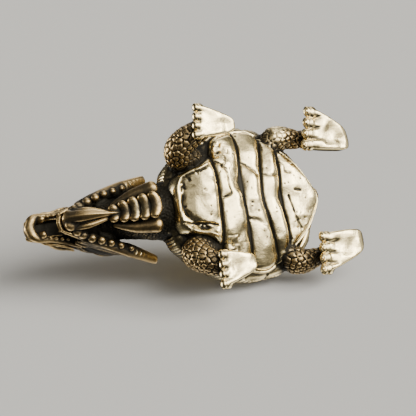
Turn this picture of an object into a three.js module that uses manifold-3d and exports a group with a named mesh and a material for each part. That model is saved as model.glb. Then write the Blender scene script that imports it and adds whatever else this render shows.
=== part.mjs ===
// A small dragon turtle, cast solid in brass: a turtle's body with a dragon's horned, bearded head.
// Millimetres, +Z up. It stands on its four soles at z = 0, its head points to -Y and its left side is +X.
import * as THREE from "three";
import { mergeVertices } from "three/addons/utils/BufferGeometryUtils.js";
import { ConvexGeometry } from "three/addons/geometries/ConvexGeometry.js";
import Module from "manifold-3d";

const wasm = await Module();
wasm.setup();

// Driving dimensions
const SHELL_WIDTH = 22.8; // carapace, across its rim
const SHELL_LENGTH = 25.6; // carapace, front to back at its rim
const SHELL_HEIGHT = 9.6; // carapace, rim to crown
const RIM_LEVEL = 6.2; // underside of the rim above the ground, at the sides
const RIM_THICKNESS = 1.3;
const RIM_ARCH = 2; // rise of the rim over the neck
const PLATE_RAISE = 0.4; // plates of the carapace above their seams
const SEAM_WIDTH = 0.55;
const BELLY_LEVEL = 2.9; // lowest part of the plastron above the ground
const PLASTRON_THICKNESS = 2.6;
const LOBE_RISE = 3.4; // rise of the plastron's front lobe towards the throat
const FURROW_WIDTH = 0.8;
const FURROW_DEPTH = 0.7;
const HEAD_LENGTH = 11; // nape to nose
const HEAD_REACH = 8.8; // corner of the mouth, forward of the rim
const HEAD_LEVEL = 17.6; // corner of the mouth above the ground
const LEG_THICKNESS = 4.4;
const FOOT_HEIGHT = 2.2;
const TOE_THICKNESS = 1.45;
const TOES = 4;
const MARGINAL_PLATES = 18;
const THROAT_BANDS = 5;
const MANE_BEADS = 5;
const NAPE_LOCKS = 4;

const halfWidth = SHELL_WIDTH / 2;
const halfLength = SHELL_LENGTH / 2;
const legRadius = LEG_THICKNESS / 2;
const toeRadius = TOE_THICKNESS / 2;
const ACROSS = new THREE.Vector3(1, 0, 0);
const { lerp } = THREE.MathUtils;

// Solids from three.js geometry

function solidOf(geometry) {
  const bare = geometry.index ? geometry.toNonIndexed() : geometry.clone();
  bare.deleteAttribute("normal");
  bare.deleteAttribute("uv");
  const merged = mergeVertices(bare, 1e-4);
  return new wasm.Manifold(
    new wasm.Mesh({
      numProp: 3,
      vertProperties: merged.attributes.position.array,
      triVerts: new Uint32Array(merged.index.array),
    }),
  );
}

function moveEachPoint(geometry, move) {
  const points = geometry.attributes.position;
  const point = new THREE.Vector3();
  for (let i = 0; i < points.count; i++) {
    point.fromBufferAttribute(points, i);
    points.setXYZ(i, ...move(point).toArray());
  }
  return geometry;
}

function ball(centre, radii, { turn = [0, 0, 0], around = 8, down = 5 } = {}) {
  const geometry = new THREE.SphereGeometry(1, around, down)
    .rotateX(Math.PI / 2)
    .scale(...radii)
    .applyMatrix4(new THREE.Matrix4().makeRotationFromEuler(new THREE.Euler(...turn)))
    .translate(...centre);
  return solidOf(geometry);
}

function knob(centre, radii) {
  return ball(centre, radii, { around: 6, down: 4 });
}

// The value at share t of a list whose entries are evenly spaced from 0 to 1.
function along(values, t) {
  const place = t * (values.length - 1);
  const low = Math.min(Math.floor(place), values.length - 2);
  return lerp(values[low], values[low + 1], place - low);
}

// A round-ended limb that follows a curve. Its half width lies along side, its half depth across it.
function limb(path, wide, { deep = wide, side = ACROSS, blunt = 0.4, around = 8, rings = 7 } = {}) {
  const curve = new THREE.CatmullRomCurve3(path.map((p) => new THREE.Vector3(...p)));
  const geometry = new THREE.SphereGeometry(1, around, rings);
  return solidOf(
    moveEachPoint(geometry, (point) => {
      const t = (1 - point.y) / 2;
      const round = Math.hypot(point.x, point.z);
      const swell = round > 1e-6 ? Math.pow(round, blunt - 1) : 0;
      const tangent = curve.getTangent(t);
      const depth = tangent.clone().cross(side).normalize();
      const width = depth.clone().cross(tangent).normalize();
      return curve
        .getPoint(t)
        .addScaledVector(width, point.x * swell * along(wide, t))
        .addScaledVector(depth, point.z * swell * along(deep, t));
    }),
  );
}

function hull(points) {
  return solidOf(new ConvexGeometry(points.map((p) => new THREE.Vector3(...p))));
}

function join(solids) {
  return wasm.Manifold.union(solids.flat(Infinity));
}

// side is 1 on the left of the figure and -1 on its right.
function onBothSides(make) {
  return [make(1), make(-1)];
}

function between(from, to, share, raise = 0) {
  const place = from.map((value, k) => lerp(value, to[k], share));
  return [place[0], place[1], place[2] + raise];
}

// Carapace: a dome over an oval rim, with raised plates. A place on it is (a, b): the share of the
// half width, to the left, and of the half length, to the back.

function rimLift(b) {
  const [forward, backward] = [Math.max(0, -b - 0.25) / 0.75, Math.max(0, b)];
  return RIM_ARCH * (Math.pow(forward, 2) + 0.25 * Math.pow(backward, 4));
}

function onDome(a, b, lift = 0) {
  const reach = Math.min(1, Math.hypot(a, b));
  const swell = 1 + lift / halfWidth;
  const height = SHELL_HEIGHT * Math.pow(1 - Math.pow(reach, 2.4), 0.6);
  return [
    a * halfWidth * swell,
    b * halfLength * swell,
    RIM_LEVEL + RIM_THICKNESS + rimLift(b) * Math.pow(reach, 3) + height + lift * (1 - reach * 0.6),
  ];
}

function carapaceBody() {
  const geometry = new THREE.SphereGeometry(1, 20, 8).rotateX(Math.PI / 2);
  return solidOf(
    moveEachPoint(geometry, ({ x, y, z }) => {
      const [px, py, pz] = onDome(x, y);
      const under = RIM_LEVEL + rimLift(y) * Math.pow(Math.hypot(x, y), 3);
      return new THREE.Vector3(px, py, z > -1e-6 ? pz : under + RIM_THICKNESS * 0.3);
    }),
  );
}

// One raised plate, from its outline in (a, b). Its foot is sunk in the dome and its crown stands proud.
function plate(outline) {
  const middle = [0, 1].map((k) => outline.reduce((sum, p) => sum + p[k], 0) / outline.length);
  const inset = (p, share) => p.map((value, k) => lerp(value, middle[k], share));
  const size = Math.max(...outline.map((p) => Math.hypot(p[0] - middle[0], p[1] - middle[1])));
  const bevel = SEAM_WIDTH / (size * halfWidth);
  return hull([
    ...outline.map((p) => onDome(...inset(p, bevel * 0.3), -0.9)),
    ...outline.map((p) => onDome(...inset(p, bevel), PLATE_RAISE)),
    onDome(...middle, PLATE_RAISE * 1.6),
  ]);
}

const RING = 0.8; // inner edge of the marginal plates, as a share of the rim
const SPINE_SEAMS = [-0.5, -0.16, 0.2, 0.52]; // seams across the row of plates on the spine
const SPINE_CORNERS = [-0.66, -0.33, 0.02, 0.36, 0.66]; // outer corners of those plates
const SEAM_REACH = 0.19;
const CORNER_REACH = 0.33;

function onRing(angle, reach = RING) {
  return [reach * Math.sin(angle), reach * Math.cos(angle)];
}

// The point of the ring straight out from a corner of the spine's plates.
function ringBeside(b) {
  return [Math.sqrt(Math.max(0, RING * RING - b * b)), b];
}

function carapacePlates() {
  const plates = [];
  const ends = [-RING, ...SPINE_SEAMS, RING];
  SPINE_CORNERS.forEach((corner, i) => {
    const left = [
      [SEAM_REACH, ends[i]],
      [CORNER_REACH, corner],
      [SEAM_REACH, ends[i + 1]],
    ];
    plates.push(plate([...left, ...left.map(([a, b]) => [-a, b])]));
  });
  SPINE_SEAMS.forEach((seam, i) => {
    const [front, back] = [SPINE_CORNERS[i], SPINE_CORNERS[i + 1]];
    const outline = [
      [CORNER_REACH, front],
      [SEAM_REACH, seam],
      [CORNER_REACH, back],
      ringBeside(back),
      ringBeside((front + back) / 2),
      ringBeside(front),
    ];
    plates.push(...onBothSides((side) => plate(outline.map(([a, b]) => [a * side, b]))));
  });
  for (let i = 0; i < MARGINAL_PLATES; i++) {
    const angles = [i, i + 1].map((k) => (2 * Math.PI * k) / MARGINAL_PLATES);
    plates.push(plate(angles.flatMap((angle) => [onRing(angle), onRing(angle, 1)])));
  }
  return plates;
}

// The rim's band, which flares a little and turns down around the body.
function rimBand() {
  const profile = [
    [0.84, 0.1],
    [0.97, -0.3],
    [1.02, 0.35],
    [1, RIM_THICKNESS],
    [0.84, RIM_THICKNESS],
    [0.84, 0.1],
  ].map(([reach, z]) => new THREE.Vector2(reach, z));
  const band = new THREE.LatheGeometry(profile, 2 * MARGINAL_PLATES).rotateX(Math.PI / 2);
  return solidOf(
    moveEachPoint(
      band,
      ({ x, y, z }) => new THREE.Vector3(x * halfWidth, y * halfLength, RIM_LEVEL + rimLift(y) + z),
    ),
  );
}

// The body between the two shells. It flares from the plastron's edge to the rim.
function trunk() {
  const middle = RIM_LEVEL + 0.5;
  const radii = [0.93 * halfWidth, 0.9 * halfLength, middle - BELLY_LEVEL - 0.6];
  return ball([0, -0.02 * halfLength, middle], radii, { around: 16, down: 6 });
}

// Plastron: the belly plate, with a front lobe that turns up and furrows across it

const PLASTRON_OUTLINE = [
  [0, -0.97],
  [0.22, -0.96],
  [0.36, -0.9],
  [0.43, -0.79],
  [0.47, -0.67],
  [0.58, -0.5],
  [0.81, -0.37],
  [0.91, -0.05],
  [0.92, 0.12],
  [0.85, 0.24],
  [0.67, 0.44],
  [0.5, 0.63],
  [0.3, 0.78],
  [0, 0.95],
];

function plastronEdge() {
  const left = PLASTRON_OUTLINE.map(([a, b]) => new THREE.Vector3(a * halfWidth, b * halfLength, 0));
  const right = left.slice(1, -1).reverse();
  const outline = [...left, ...right.map((p) => new THREE.Vector3(-p.x, p.y, 0))];
  return new THREE.CatmullRomCurve3(outline, true, "catmullrom", 0.35);
}

// Level of the plastron's underside.
function bellyAt(x, y) {
  const forward = Math.max(0, -y / halfLength - 0.42) / 0.58;
  const sideways = Math.abs(x) / halfWidth;
  const backward = Math.max(0, y / halfLength - 0.3);
  return (
    BELLY_LEVEL +
    LOBE_RISE * Math.pow(forward, 1.4) +
    2.2 * Math.pow(sideways, 3) +
    1.6 * backward * backward
  );
}

function plastronBody() {
  const edge = plastronEdge();
  const geometry = new THREE.SphereGeometry(1, 36, 6).rotateX(Math.PI / 2);
  return solidOf(
    moveEachPoint(geometry, ({ x, y, z }) => {
      const turn = Math.atan2(x, -y) / (2 * Math.PI);
      const rim = edge.getPointAt((turn + 1) % 1);
      const reach = Math.min(1, Math.hypot(x, y));
      const px = rim.x * reach;
      const py = rim.y * reach;
      const depth = Math.sign(z) * Math.pow(Math.abs(z), 0.4);
      const level = bellyAt(px, py) + (PLASTRON_THICKNESS / 2) * (1 + depth);
      return new THREE.Vector3(px, py, level);
    }),
  );
}

// Each furrow: its place along the plastron, its bow in the middle, and its two ends across.
const FURROWS = [
  { at: -0.49, bow: 0, from: -0.54, to: 0.76 },
  { at: -0.15, bow: -0.03, from: -0.86, to: 0.86 },
  { at: 0.22, bow: -0.12, from: -0.9, to: 0.88 },
  { at: 0.4, bow: -0.02, from: -0.7, to: 0.7 },
  { at: 0.6, bow: -0.08, from: -0.46, to: -0.06 },
];

function furrow({ at, bow, from, to }) {
  const path = [0, 0.25, 0.5, 0.75, 1].map((share) => {
    const a = lerp(from, to, share);
    const x = a * halfWidth;
    const y = (at + bow * Math.cos((a * Math.PI) / 1.7)) * halfLength;
    return [x, y, bellyAt(x, y)];
  });
  return limb(path, [FURROW_WIDTH / 2, FURROW_WIDTH / 2], {
    side: new THREE.Vector3(0, 1, 0),
    deep: [FURROW_DEPTH, FURROW_DEPTH],
    around: 4,
    rings: 6,
  });
}

// The oval swelling of the front lobe.
function lobeBoss() {
  const y = -0.76 * halfLength;
  const radii = [0.28 * halfWidth, 0.15 * halfLength, 0.9];
  return ball([0, y, bellyAt(0, y) + 0.4], radii, { turn: [-0.5, 0, 0], around: 12, down: 5 });
}

function plastron() {
  return join([plastronBody(), lobeBoss()]).subtract(join(FURROWS.map(furrow)));
}

// Legs and feet, from places (a, b) as on the shell, with heights in millimetres

const FEET = [
  {
    toes: [[0.76, -0.86], [1.2, -0.78]],
    heel: [[1.03, -0.32], [0.82, -0.32]],
    leg: [[0.5, -0.5, 7.4], [0.66, -0.82, 5.6], [0.8, -0.82, 3.7], [0.94, -0.6, 1.5]],
    swell: [1.0, 1.12, 0.95, 0.8],
  },
  {
    toes: [[-0.74, -0.76], [-1.21, -0.8]],
    heel: [[-1.01, -0.32], [-0.78, -0.34]],
    leg: [[-0.5, -0.5, 7.4], [-0.66, -0.8, 5.6], [-0.8, -0.78, 3.7], [-0.94, -0.58, 1.5]],
    swell: [1.0, 1.12, 0.95, 0.8],
  },
  {
    toes: [[0.63, 0.68], [1.1, 0.78]],
    heel: [[0.85, 1.27], [0.56, 1.27]],
    leg: [[0.5, 0.3, 7.0], [0.83, 0.52, 4.9], [0.8, 0.86, 4.2], [0.78, 1.0, 1.4]],
    swell: [0.9, 0.95, 0.7, 0.85],
  },
  {
    toes: [[-0.55, 0.79], [-1.08, 0.72]],
    heel: [[-0.82, 1.25], [-0.5, 1.27]],
    leg: [[-0.5, 0.3, 7.0], [-0.83, 0.54, 4.9], [-0.8, 0.86, 4.2], [-0.77, 1.0, 1.4]],
    swell: [0.9, 1.05, 0.7, 0.85],
  },
];

function onGround([a, b]) {
  return [a * halfWidth, b * halfLength];
}

function foot({ toes, heel }) {
  const corners = [...toes, ...heel].map(onGround);
  const rounded = corners.flatMap((corner, i) => {
    const neighbours = [corners[(i + 3) % 4], corners[(i + 1) % 4]];
    return neighbours.map((other) => [0, 1].map((k) => lerp(corner[k], other[k], 0.2)));
  });
  const middle = [0, 1].map((k) => corners.reduce((sum, p) => sum + p[k], 0) / corners.length);
  const ring = (share, z) => rounded.map((p) => [...p.map((value, k) => lerp(value, middle[k], share)), z]);
  return hull([
    ...ring(0.06, 0),
    ...ring(0, FOOT_HEIGHT * 0.2),
    ...ring(0.05, FOOT_HEIGHT * 0.55),
    ...ring(0.35, FOOT_HEIGHT),
  ]);
}

function toesOf({ toes, heel }) {
  const [inner, outer] = toes.map(onGround);
  const fanOut = Math.sign(outer[0] - inner[0]);
  return Array.from({ length: TOES }, (_, i) => {
    const share = (i + 0.5) / TOES;
    const x = lerp(inner[0], outer[0], share);
    const y = lerp(inner[1], outer[1], share);
    const fan = (share - 0.5) * fanOut;
    return limb(
      [
        [x - fan, y + toeRadius * 2.2, toeRadius * 1.9],
        [x, y + toeRadius * 0.4, toeRadius * 1.5],
        [x + fan * 0.6, y - toeRadius * 0.7, toeRadius * 0.8],
      ],
      [toeRadius * 0.9, toeRadius * 1.05, toeRadius * 0.8],
      { around: 6, rings: 4, blunt: 0.5 },
    );
  });
}

function leg({ leg: path, swell }) {
  return limb(
    path.map(([a, b, z]) => [...onGround([a, b]), z]),
    swell.map((share) => share * legRadius),
    { around: 9, rings: 6, blunt: 0.5 },
  );
}

// Neck and head. A place on the head is given from the corner of the mouth, in shares of
// HEAD_LENGTH: across, forward, up.

function onHead(across, forward, up) {
  return [
    across * HEAD_LENGTH,
    -(halfLength + HEAD_REACH) - forward * HEAD_LENGTH,
    HEAD_LEVEL + up * HEAD_LENGTH,
  ];
}

function headSizes(...shares) {
  return shares.map((share) => share * HEAD_LENGTH);
}

const neckRoot = [0, -0.7 * halfLength, RIM_LEVEL + 3.4];
const throatLow = [0, -1.17 * halfLength, BELLY_LEVEL + 4.6];
const throatHigh = onHead(0, -0.13, -0.66);

function neck() {
  const top = onHead(0, 0.0, 0);
  return limb(
    [neckRoot, between(neckRoot, top, 0.4, -0.5), between(neckRoot, top, 0.7, -0.2), top],
    headSizes(0.45, 0.34, 0.25, 0.22),
    { deep: headSizes(0.38, 0.42, 0.37, 0.26), around: 10, rings: 6, blunt: 0.5 },
  );
}

function throat() {
  const [low, high] = [throatLow, throatHigh].map((end) => between(end, end, 0, 1.9));
  const path = [low, between(low, high, 0.5), high];
  const core = limb(path, headSizes(0.15, 0.15, 0.13), { around: 6, rings: 4 });
  const bands = Array.from({ length: THROAT_BANDS }, (_, i) => {
    const share = i / (THROAT_BANDS - 1);
    const width = lerp(0.17, 0.155, share);
    return ball(between(throatLow, throatHigh, share, 0.55), headSizes(width, 0.09, 0.12), {
      turn: [-0.8, 0, 0],
      around: 8,
      down: 4,
    });
  });
  return [core, bands];
}

// A smooth fold of skin on each side of the throat.
function neckFold(side) {
  const low = [side * 0.22 * halfWidth, throatLow[1] + 0.4, throatLow[2] + 1.2];
  const high = [side * 0.1 * HEAD_LENGTH, throatHigh[1], throatHigh[2] + 0.9];
  return limb([low, between(low, high, 0.5), high], headSizes(0.1, 0.1, 0.05), { around: 6, rings: 5 });
}

function skull() {
  return [
    ball(onHead(0, -0.04, 0.14), headSizes(0.25, 0.32, 0.25), { around: 12, down: 6 }),
    ball(onHead(0, -0.02, -0.12), headSizes(0.23, 0.24, 0.24), { around: 10, down: 6 }),
    limb(
      [onHead(0, 0, 0.2), onHead(0, 0.36, 0.19), onHead(0, 0.6, 0.2), onHead(0, 0.83, 0.2)],
      headSizes(0.24, 0.19, 0.165, 0.155),
      { deep: headSizes(0.22, 0.13, 0.11, 0.11), around: 10, rings: 7, blunt: 0.35 },
    ),
    onBothSides((side) => knob(onHead(side * 0.09, 0.71, 0.28), headSizes(0.065, 0.075, 0.06))),
  ];
}

function upperLip(side) {
  const path = [
    onHead(side * 0.03, 0.85, 0.14),
    onHead(side * 0.15, 0.74, 0.11),
    onHead(side * 0.175, 0.42, 0.1),
    onHead(side * 0.23, 0.08, 0.1),
  ];
  return limb(path, headSizes(0.05, 0.045, 0.04, 0.04), { around: 5, rings: 6 });
}

function lowerJaw() {
  return [
    limb(
      [onHead(0, -0.14, -0.06), onHead(0, 0.18, -0.27), onHead(0, 0.46, -0.27)],
      headSizes(0.22, 0.17, 0.13),
      { deep: headSizes(0.22, 0.15, 0.11), around: 10, rings: 7, blunt: 0.35 },
    ),
    onBothSides((side) => knob(onHead(side * 0.17, 0.24, -0.28), headSizes(0.065, 0.08, 0.065))),
  ];
}

// A wedge with its edge at the corner of the mouth, from the height low to the height high at its front.
function mouthWedge({ half, corner, front, low, high }) {
  return hull(
    [half, -half].flatMap((across) => [
      onHead(across, corner, (low + high) / 2),
      onHead(across, front, low),
      onHead(across, front, high),
      onHead(across, (corner + front) / 2, high),
    ]),
  );
}

function mouthGap() {
  return [
    mouthWedge({ half: 0.3, corner: 0.1, front: 0.95, low: -0.16, high: 0.08 }),
    mouthWedge({ half: 0.105, corner: 0.2, front: 0.74, low: -0.1, high: 0.2 }),
  ];
}

function fang(side) {
  const path = [
    onHead(side * 0.095, 0.66, 0.22),
    onHead(side * 0.1, 0.63, 0.14),
    onHead(side * 0.1, 0.6, 0.08),
  ];
  return limb(path, headSizes(0.055, 0.05, 0.04), { around: 6, rings: 5 });
}

function beard() {
  return limb(
    [onHead(0, 0.46, -0.34), onHead(0, 0.3, -0.5), onHead(0, 0.08, -0.57), onHead(0, -0.14, -0.62)],
    headSizes(0.09, 0.075, 0.045, 0.025),
    { around: 6, rings: 7 },
  );
}

function brow(side) {
  return [
    knob(onHead(side * 0.19, 0.24, 0.27), headSizes(0.07, 0.085, 0.07)),
    limb(
      [onHead(side * 0.08, 0.44, 0.28), onHead(side * 0.19, 0.27, 0.35), onHead(side * 0.23, 0.03, 0.31)],
      headSizes(0.055, 0.065, 0.05),
      { around: 6, rings: 5 },
    ),
  ];
}

function horn(side) {
  return limb(
    [
      onHead(side * 0.14, 0.04, 0.36),
      onHead(side * 0.22, -0.22, 0.32),
      onHead(side * 0.3, -0.5, 0.2),
      onHead(side * 0.36, -0.8, 0.16),
      onHead(side * 0.38, -1.0, 0.26),
    ],
    headSizes(0.08, 0.08, 0.07, 0.055, 0.03),
    { around: 6, rings: 6 },
  );
}

// The mane: on each side a beaded lock that ends in a broad leaf over the shoulder.
function mane(side) {
  const path = [
    [0.24, 0.16, -0.22],
    [0.33, -0.1, -0.33],
    [0.43, -0.5, -0.32],
    [0.56, -1.02, -0.24],
  ].map(([across, forward, up]) => onHead(side * across, forward, up));
  const curve = new THREE.CatmullRomCurve3(path.map((p) => new THREE.Vector3(...p)));
  const beads = Array.from({ length: MANE_BEADS }, (_, i) => {
    const [x, y, z] = curve.getPoint(0.1 + (0.5 * i) / (MANE_BEADS - 1)).toArray();
    return knob([x, y, z - 0.3], headSizes(0.065, 0.07, 0.065));
  });
  const leaf = limb(
    path.map(([x, y, z]) => [x, y, z + 0.3]),
    headSizes(0.05, 0.08, 0.12, 0.05),
    { deep: headSizes(0.07, 0.08, 0.11, 0.04), around: 6, rings: 7 },
  );
  return [...beads, leaf];
}

// A lock on each side that ties the mane to the neck.
function sideLock(side) {
  return limb(
    [onHead(side * 0.1, -0.1, -0.14), onHead(side * 0.28, -0.42, -0.18), onHead(side * 0.4, -0.76, -0.2)],
    headSizes(0.2, 0.13, 0.05),
    { deep: headSizes(0.2, 0.15, 0.05), around: 6, rings: 5 },
  );
}

// Locks that stand on the nape and lie back towards the shell.
function napeLocks() {
  return Array.from({ length: NAPE_LOCKS }, (_, i) => {
    const share = i / (NAPE_LOCKS - 1);
    const root = onHead(0, -0.16 - share * 0.42, 0.22 - share * 0.28);
    const tip = [root[0], root[1] + 0.3 * HEAD_LENGTH, root[2] + 0.1 * HEAD_LENGTH];
    return limb([root, between(root, tip, 0.5, 0.4), tip], headSizes(0.13, 0.09, 0.02), {
      deep: headSizes(0.16, 0.1, 0.02),
      around: 5,
      rings: 4,
    });
  });
}

function head() {
  const face = join([skull(), lowerJaw()]).subtract(join(mouthGap()));
  const features = [upperLip, fang, brow, horn, mane, sideLock].map(onBothSides);
  return join([face, features, beard(), napeLocks()]);
}

// A short tail, tucked in under the back of the rim and curled to the left.
function tail() {
  return limb(
    [
      [0, 0.72 * halfLength, RIM_LEVEL - 0.4],
      [0.02 * halfWidth, 0.94 * halfLength, RIM_LEVEL - 0.6],
      [0.14 * halfWidth, 1.06 * halfLength, RIM_LEVEL + 0.6],
      [0.32 * halfWidth, 1.02 * halfLength, RIM_LEVEL + 2.2],
    ],
    [1.9, 1.3, 0.9, 0.4],
    { around: 6, rings: 6 },
  );
}

function ground() {
  const span = 4 * SHELL_LENGTH;
  return solidOf(new THREE.BoxGeometry(span, span, 10).translate(0, 0, -5));
}

function dragonTurtle() {
  const shell = [trunk(), carapaceBody(), carapacePlates(), rimBand(), plastron()];
  const limbs = FEET.map((each) => [leg(each), foot(each), toesOf(each)]);
  const front = [neck(), throat(), onBothSides(neckFold), head()];
  return join([shell, limbs, front, tail()]).subtract(ground());
}

function geometryOf(made) {
  const mesh = made.getMesh();
  const geometry = new THREE.BufferGeometry();
  geometry.setAttribute("position", new THREE.BufferAttribute(new Float32Array(mesh.vertProperties), 3));
  geometry.setIndex(new THREE.BufferAttribute(mesh.triVerts, 1));
  geometry.computeVertexNormals();
  return geometry;
}

const brass = new THREE.MeshStandardMaterial({ color: 0xb08a45, metalness: 1, roughness: 0.32 });
const figure = new THREE.Mesh(geometryOf(dragonTurtle()), brass);
figure.name = "dragon_turtle";

// The origin is on the ground under the middle of the figure's length.
figure.geometry.computeBoundingBox();
const { min, max } = figure.geometry.boundingBox;
figure.position.set(0, -(min.y + max.y) / 2, 0);

const group = new THREE.Group();
group.add(figure);
export default group;
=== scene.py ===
"""A small cast brass dragon turtle in a plain studio.

The figure is modelled as one body of clay on a fine grid, skinned with a mesh, given its scales and
finished as rubbed brass with dark patina in its recesses."""

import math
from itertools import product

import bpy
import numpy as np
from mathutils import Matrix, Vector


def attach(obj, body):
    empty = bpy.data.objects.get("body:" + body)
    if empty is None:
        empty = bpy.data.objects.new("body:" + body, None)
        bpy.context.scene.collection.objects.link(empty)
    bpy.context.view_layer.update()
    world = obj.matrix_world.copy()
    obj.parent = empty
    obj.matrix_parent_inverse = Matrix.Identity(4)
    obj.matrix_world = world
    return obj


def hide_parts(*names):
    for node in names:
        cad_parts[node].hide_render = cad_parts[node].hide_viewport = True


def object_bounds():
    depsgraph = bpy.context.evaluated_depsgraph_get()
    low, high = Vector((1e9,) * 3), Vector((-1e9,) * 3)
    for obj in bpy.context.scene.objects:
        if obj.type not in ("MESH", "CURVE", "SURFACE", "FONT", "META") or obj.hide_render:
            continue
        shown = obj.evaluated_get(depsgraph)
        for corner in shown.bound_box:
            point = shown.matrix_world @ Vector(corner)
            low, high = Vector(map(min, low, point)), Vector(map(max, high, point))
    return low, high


bl_info = {
    "name": "Dragon turtle figure",
    "version": (1, 0, 0),
    "blender": (4, 5, 0),
    "location": "3D View > Sidebar > Dragon Turtle",
    "description": "Casts a small brass dragon turtle and sets it in a plain studio",
    "category": "Mesh",
}

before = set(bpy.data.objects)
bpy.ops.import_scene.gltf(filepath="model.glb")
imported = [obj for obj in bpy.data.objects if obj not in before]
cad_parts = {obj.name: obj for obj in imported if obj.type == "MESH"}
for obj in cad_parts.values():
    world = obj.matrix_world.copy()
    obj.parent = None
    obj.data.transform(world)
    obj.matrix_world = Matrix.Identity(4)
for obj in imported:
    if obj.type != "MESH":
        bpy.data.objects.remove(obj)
CAD_LOW, CAD_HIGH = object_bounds()
NODE = "dragon_turtle"
MM = 0.001

# Sizes are in millimetres. A place is measured from the middle of the shell: x to the figure's left,
# y to its back and z up from the ground. A place on a shell is also (a, b), its shares of the half
# width and of the half length.
HALF_WIDTH = 11.4
HALF_LENGTH = 12.8
DOME_HEIGHT = 9.6
DOME_SHOULDER, DOME_FALL = 2.4, 0.6  # powers that shape the dome from its middle to its rim
RIM_LEVEL = 6.2
RIM_THICKNESS = 1.3
RIM_ARCH = 2.0
BELLY_LEVEL = 2.9
PLASTRON_THICKNESS = 2.6
LOBE_RISE = 3.4
FOOT_HEIGHT = 2.2
LEG_RADIUS = 2.2
NOSE_REACH = 31.05
MOUTH_REACH = 21.6
MOUTH_LEVEL = 17.6

# Kinds of surface, and how brightly each is worn, from what has no kind to the gaps
SHELL, BELLY, SKIN, FOOT, KNOB, FACE, HAIR, PEBBLE, GAP = range(1, 10)
# Painted shade: the low values of the face, hair and neck are partly their thick patina and partly shade on
# the head.
# Painted shade: the toes' knobs sit below the soles partly as shade, where they turn away from the light.
WEAR_AND_SHADE = (0.5, 0.6, 1.0, 0.0, 0.92, 0.55, -0.5, -0.6, -0.35, 0.9)


# Curves and plane shapes

LATTICE = 256  # random heights along each side of the plane that unevenness draws


def smooth(points, steps, closed=False, tension=0.5):
    """Points along a smooth curve through the given ones, with so many steps to each stretch."""
    points = np.array(points, float)
    if closed:
        after, before = np.roll(points, -1, 0), np.roll(points, 1, 0)
    else:
        after, before = np.vstack([points[1:], points[-1:]]), np.vstack([points[:1], points[:-1]])
    slope = tension * (after - before)
    stretches = len(points) if closed else len(points) - 1
    start, stop = points[:stretches, None], after[:stretches, None]
    leave, arrive = slope[:stretches, None], np.roll(slope, -1, 0)[:stretches, None]
    t = (np.arange(steps) / steps)[None, :, None]
    curve = (
        (2 * t**3 - 3 * t**2 + 1) * start
        + (t**3 - 2 * t**2 + t) * leave
        + (3 * t**2 - 2 * t**3) * stop
        + (t**3 - t**2) * arrive
    ).reshape(-1, points.shape[1])
    return curve if closed else np.vstack([curve, points[-1:]])


def spread(values, count):
    """So many values, evenly spaced along a list."""
    values = np.atleast_1d(values)
    return np.interp(np.linspace(0, 1, count), np.linspace(0, 1, len(values)), values)


def ramp(value, low, high):
    """0 below low, 1 above high and a smooth rise between them."""
    t = np.clip((value - low) / (high - low), 0, 1)
    return t * t * (3 - 2 * t)


def bump(value, width):
    """A bell of height 1 about 0."""
    return np.exp(-((value / width) ** 2))


def line_distance(x, y, line):
    """Distance in a plane to a line of points."""
    best = np.full(np.broadcast(x, y).shape, np.inf, np.float32)
    for (x0, y0), (x1, y1) in zip(line[:-1], line[1:]):
        dx, dy = x1 - x0, y1 - y0
        share = np.clip(((x - x0) * dx + (y - y0) * dy) / (dx * dx + dy * dy + 1e-12), 0, 1)
        best = np.minimum(best, (x - x0 - share * dx) ** 2 + (y - y0 - share * dy) ** 2)
    return np.sqrt(best)


def outline_distance(x, y, outline):
    """Signed distance in a plane to a closed outline, negative inside it."""
    closed = np.vstack([outline, outline[:1]])
    inside = np.zeros(np.broadcast(x, y).shape, bool)
    for (x0, y0), (x1, y1) in zip(closed[:-1], closed[1:]):
        if y0 != y1:
            inside ^= ((y0 > y) != (y1 > y)) & (x < (x1 - x0) * (y - y0) / (y1 - y0) + x0)
    return np.where(inside, -1, 1) * line_distance(x, y, closed)


def unevenness(x, y, size, seed):
    """Smooth random height from -1 to 1 over a plane, with lumps of about the given size."""
    lattice = np.random.default_rng(seed).uniform(-1, 1, (LATTICE, LATTICE)).astype(np.float32)
    u, v = x / size + LATTICE // 4, y / size + LATTICE // 4
    i, j = np.floor(u).astype(int) % (LATTICE - 1), np.floor(v).astype(int) % (LATTICE - 1)
    s, t = ramp(u - np.floor(u), 0, 1), ramp(v - np.floor(v), 0, 1)
    front = lattice[i, j] * (1 - s) + lattice[i + 1, j] * s
    back = lattice[i, j + 1] * (1 - s) + lattice[i + 1, j + 1] * s
    return front * (1 - t) + back * t


# Clay

FAR = np.float32(3)  # no distance in the clay is greater
EDGE_STEPS = 12  # grid steps left free around the figure
EDGE_ROOM = 3  # grid steps of room around each shape, beyond its fillet


def sharper(first, second, blend):
    """The smooth greater of two distances: what is inside both."""
    rounding = np.maximum(blend - np.abs(first - second), 0)
    return np.maximum(first, second) + rounding**2 / (4 * blend)


def evened(field, grain):
    """A field whose surface is at zero, turned into a distance from that surface."""
    steepness = np.sqrt(sum(part * part for part in np.gradient(field, grain)) + 1e-6)
    return np.clip(field / steepness, -FAR, FAR)


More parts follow.
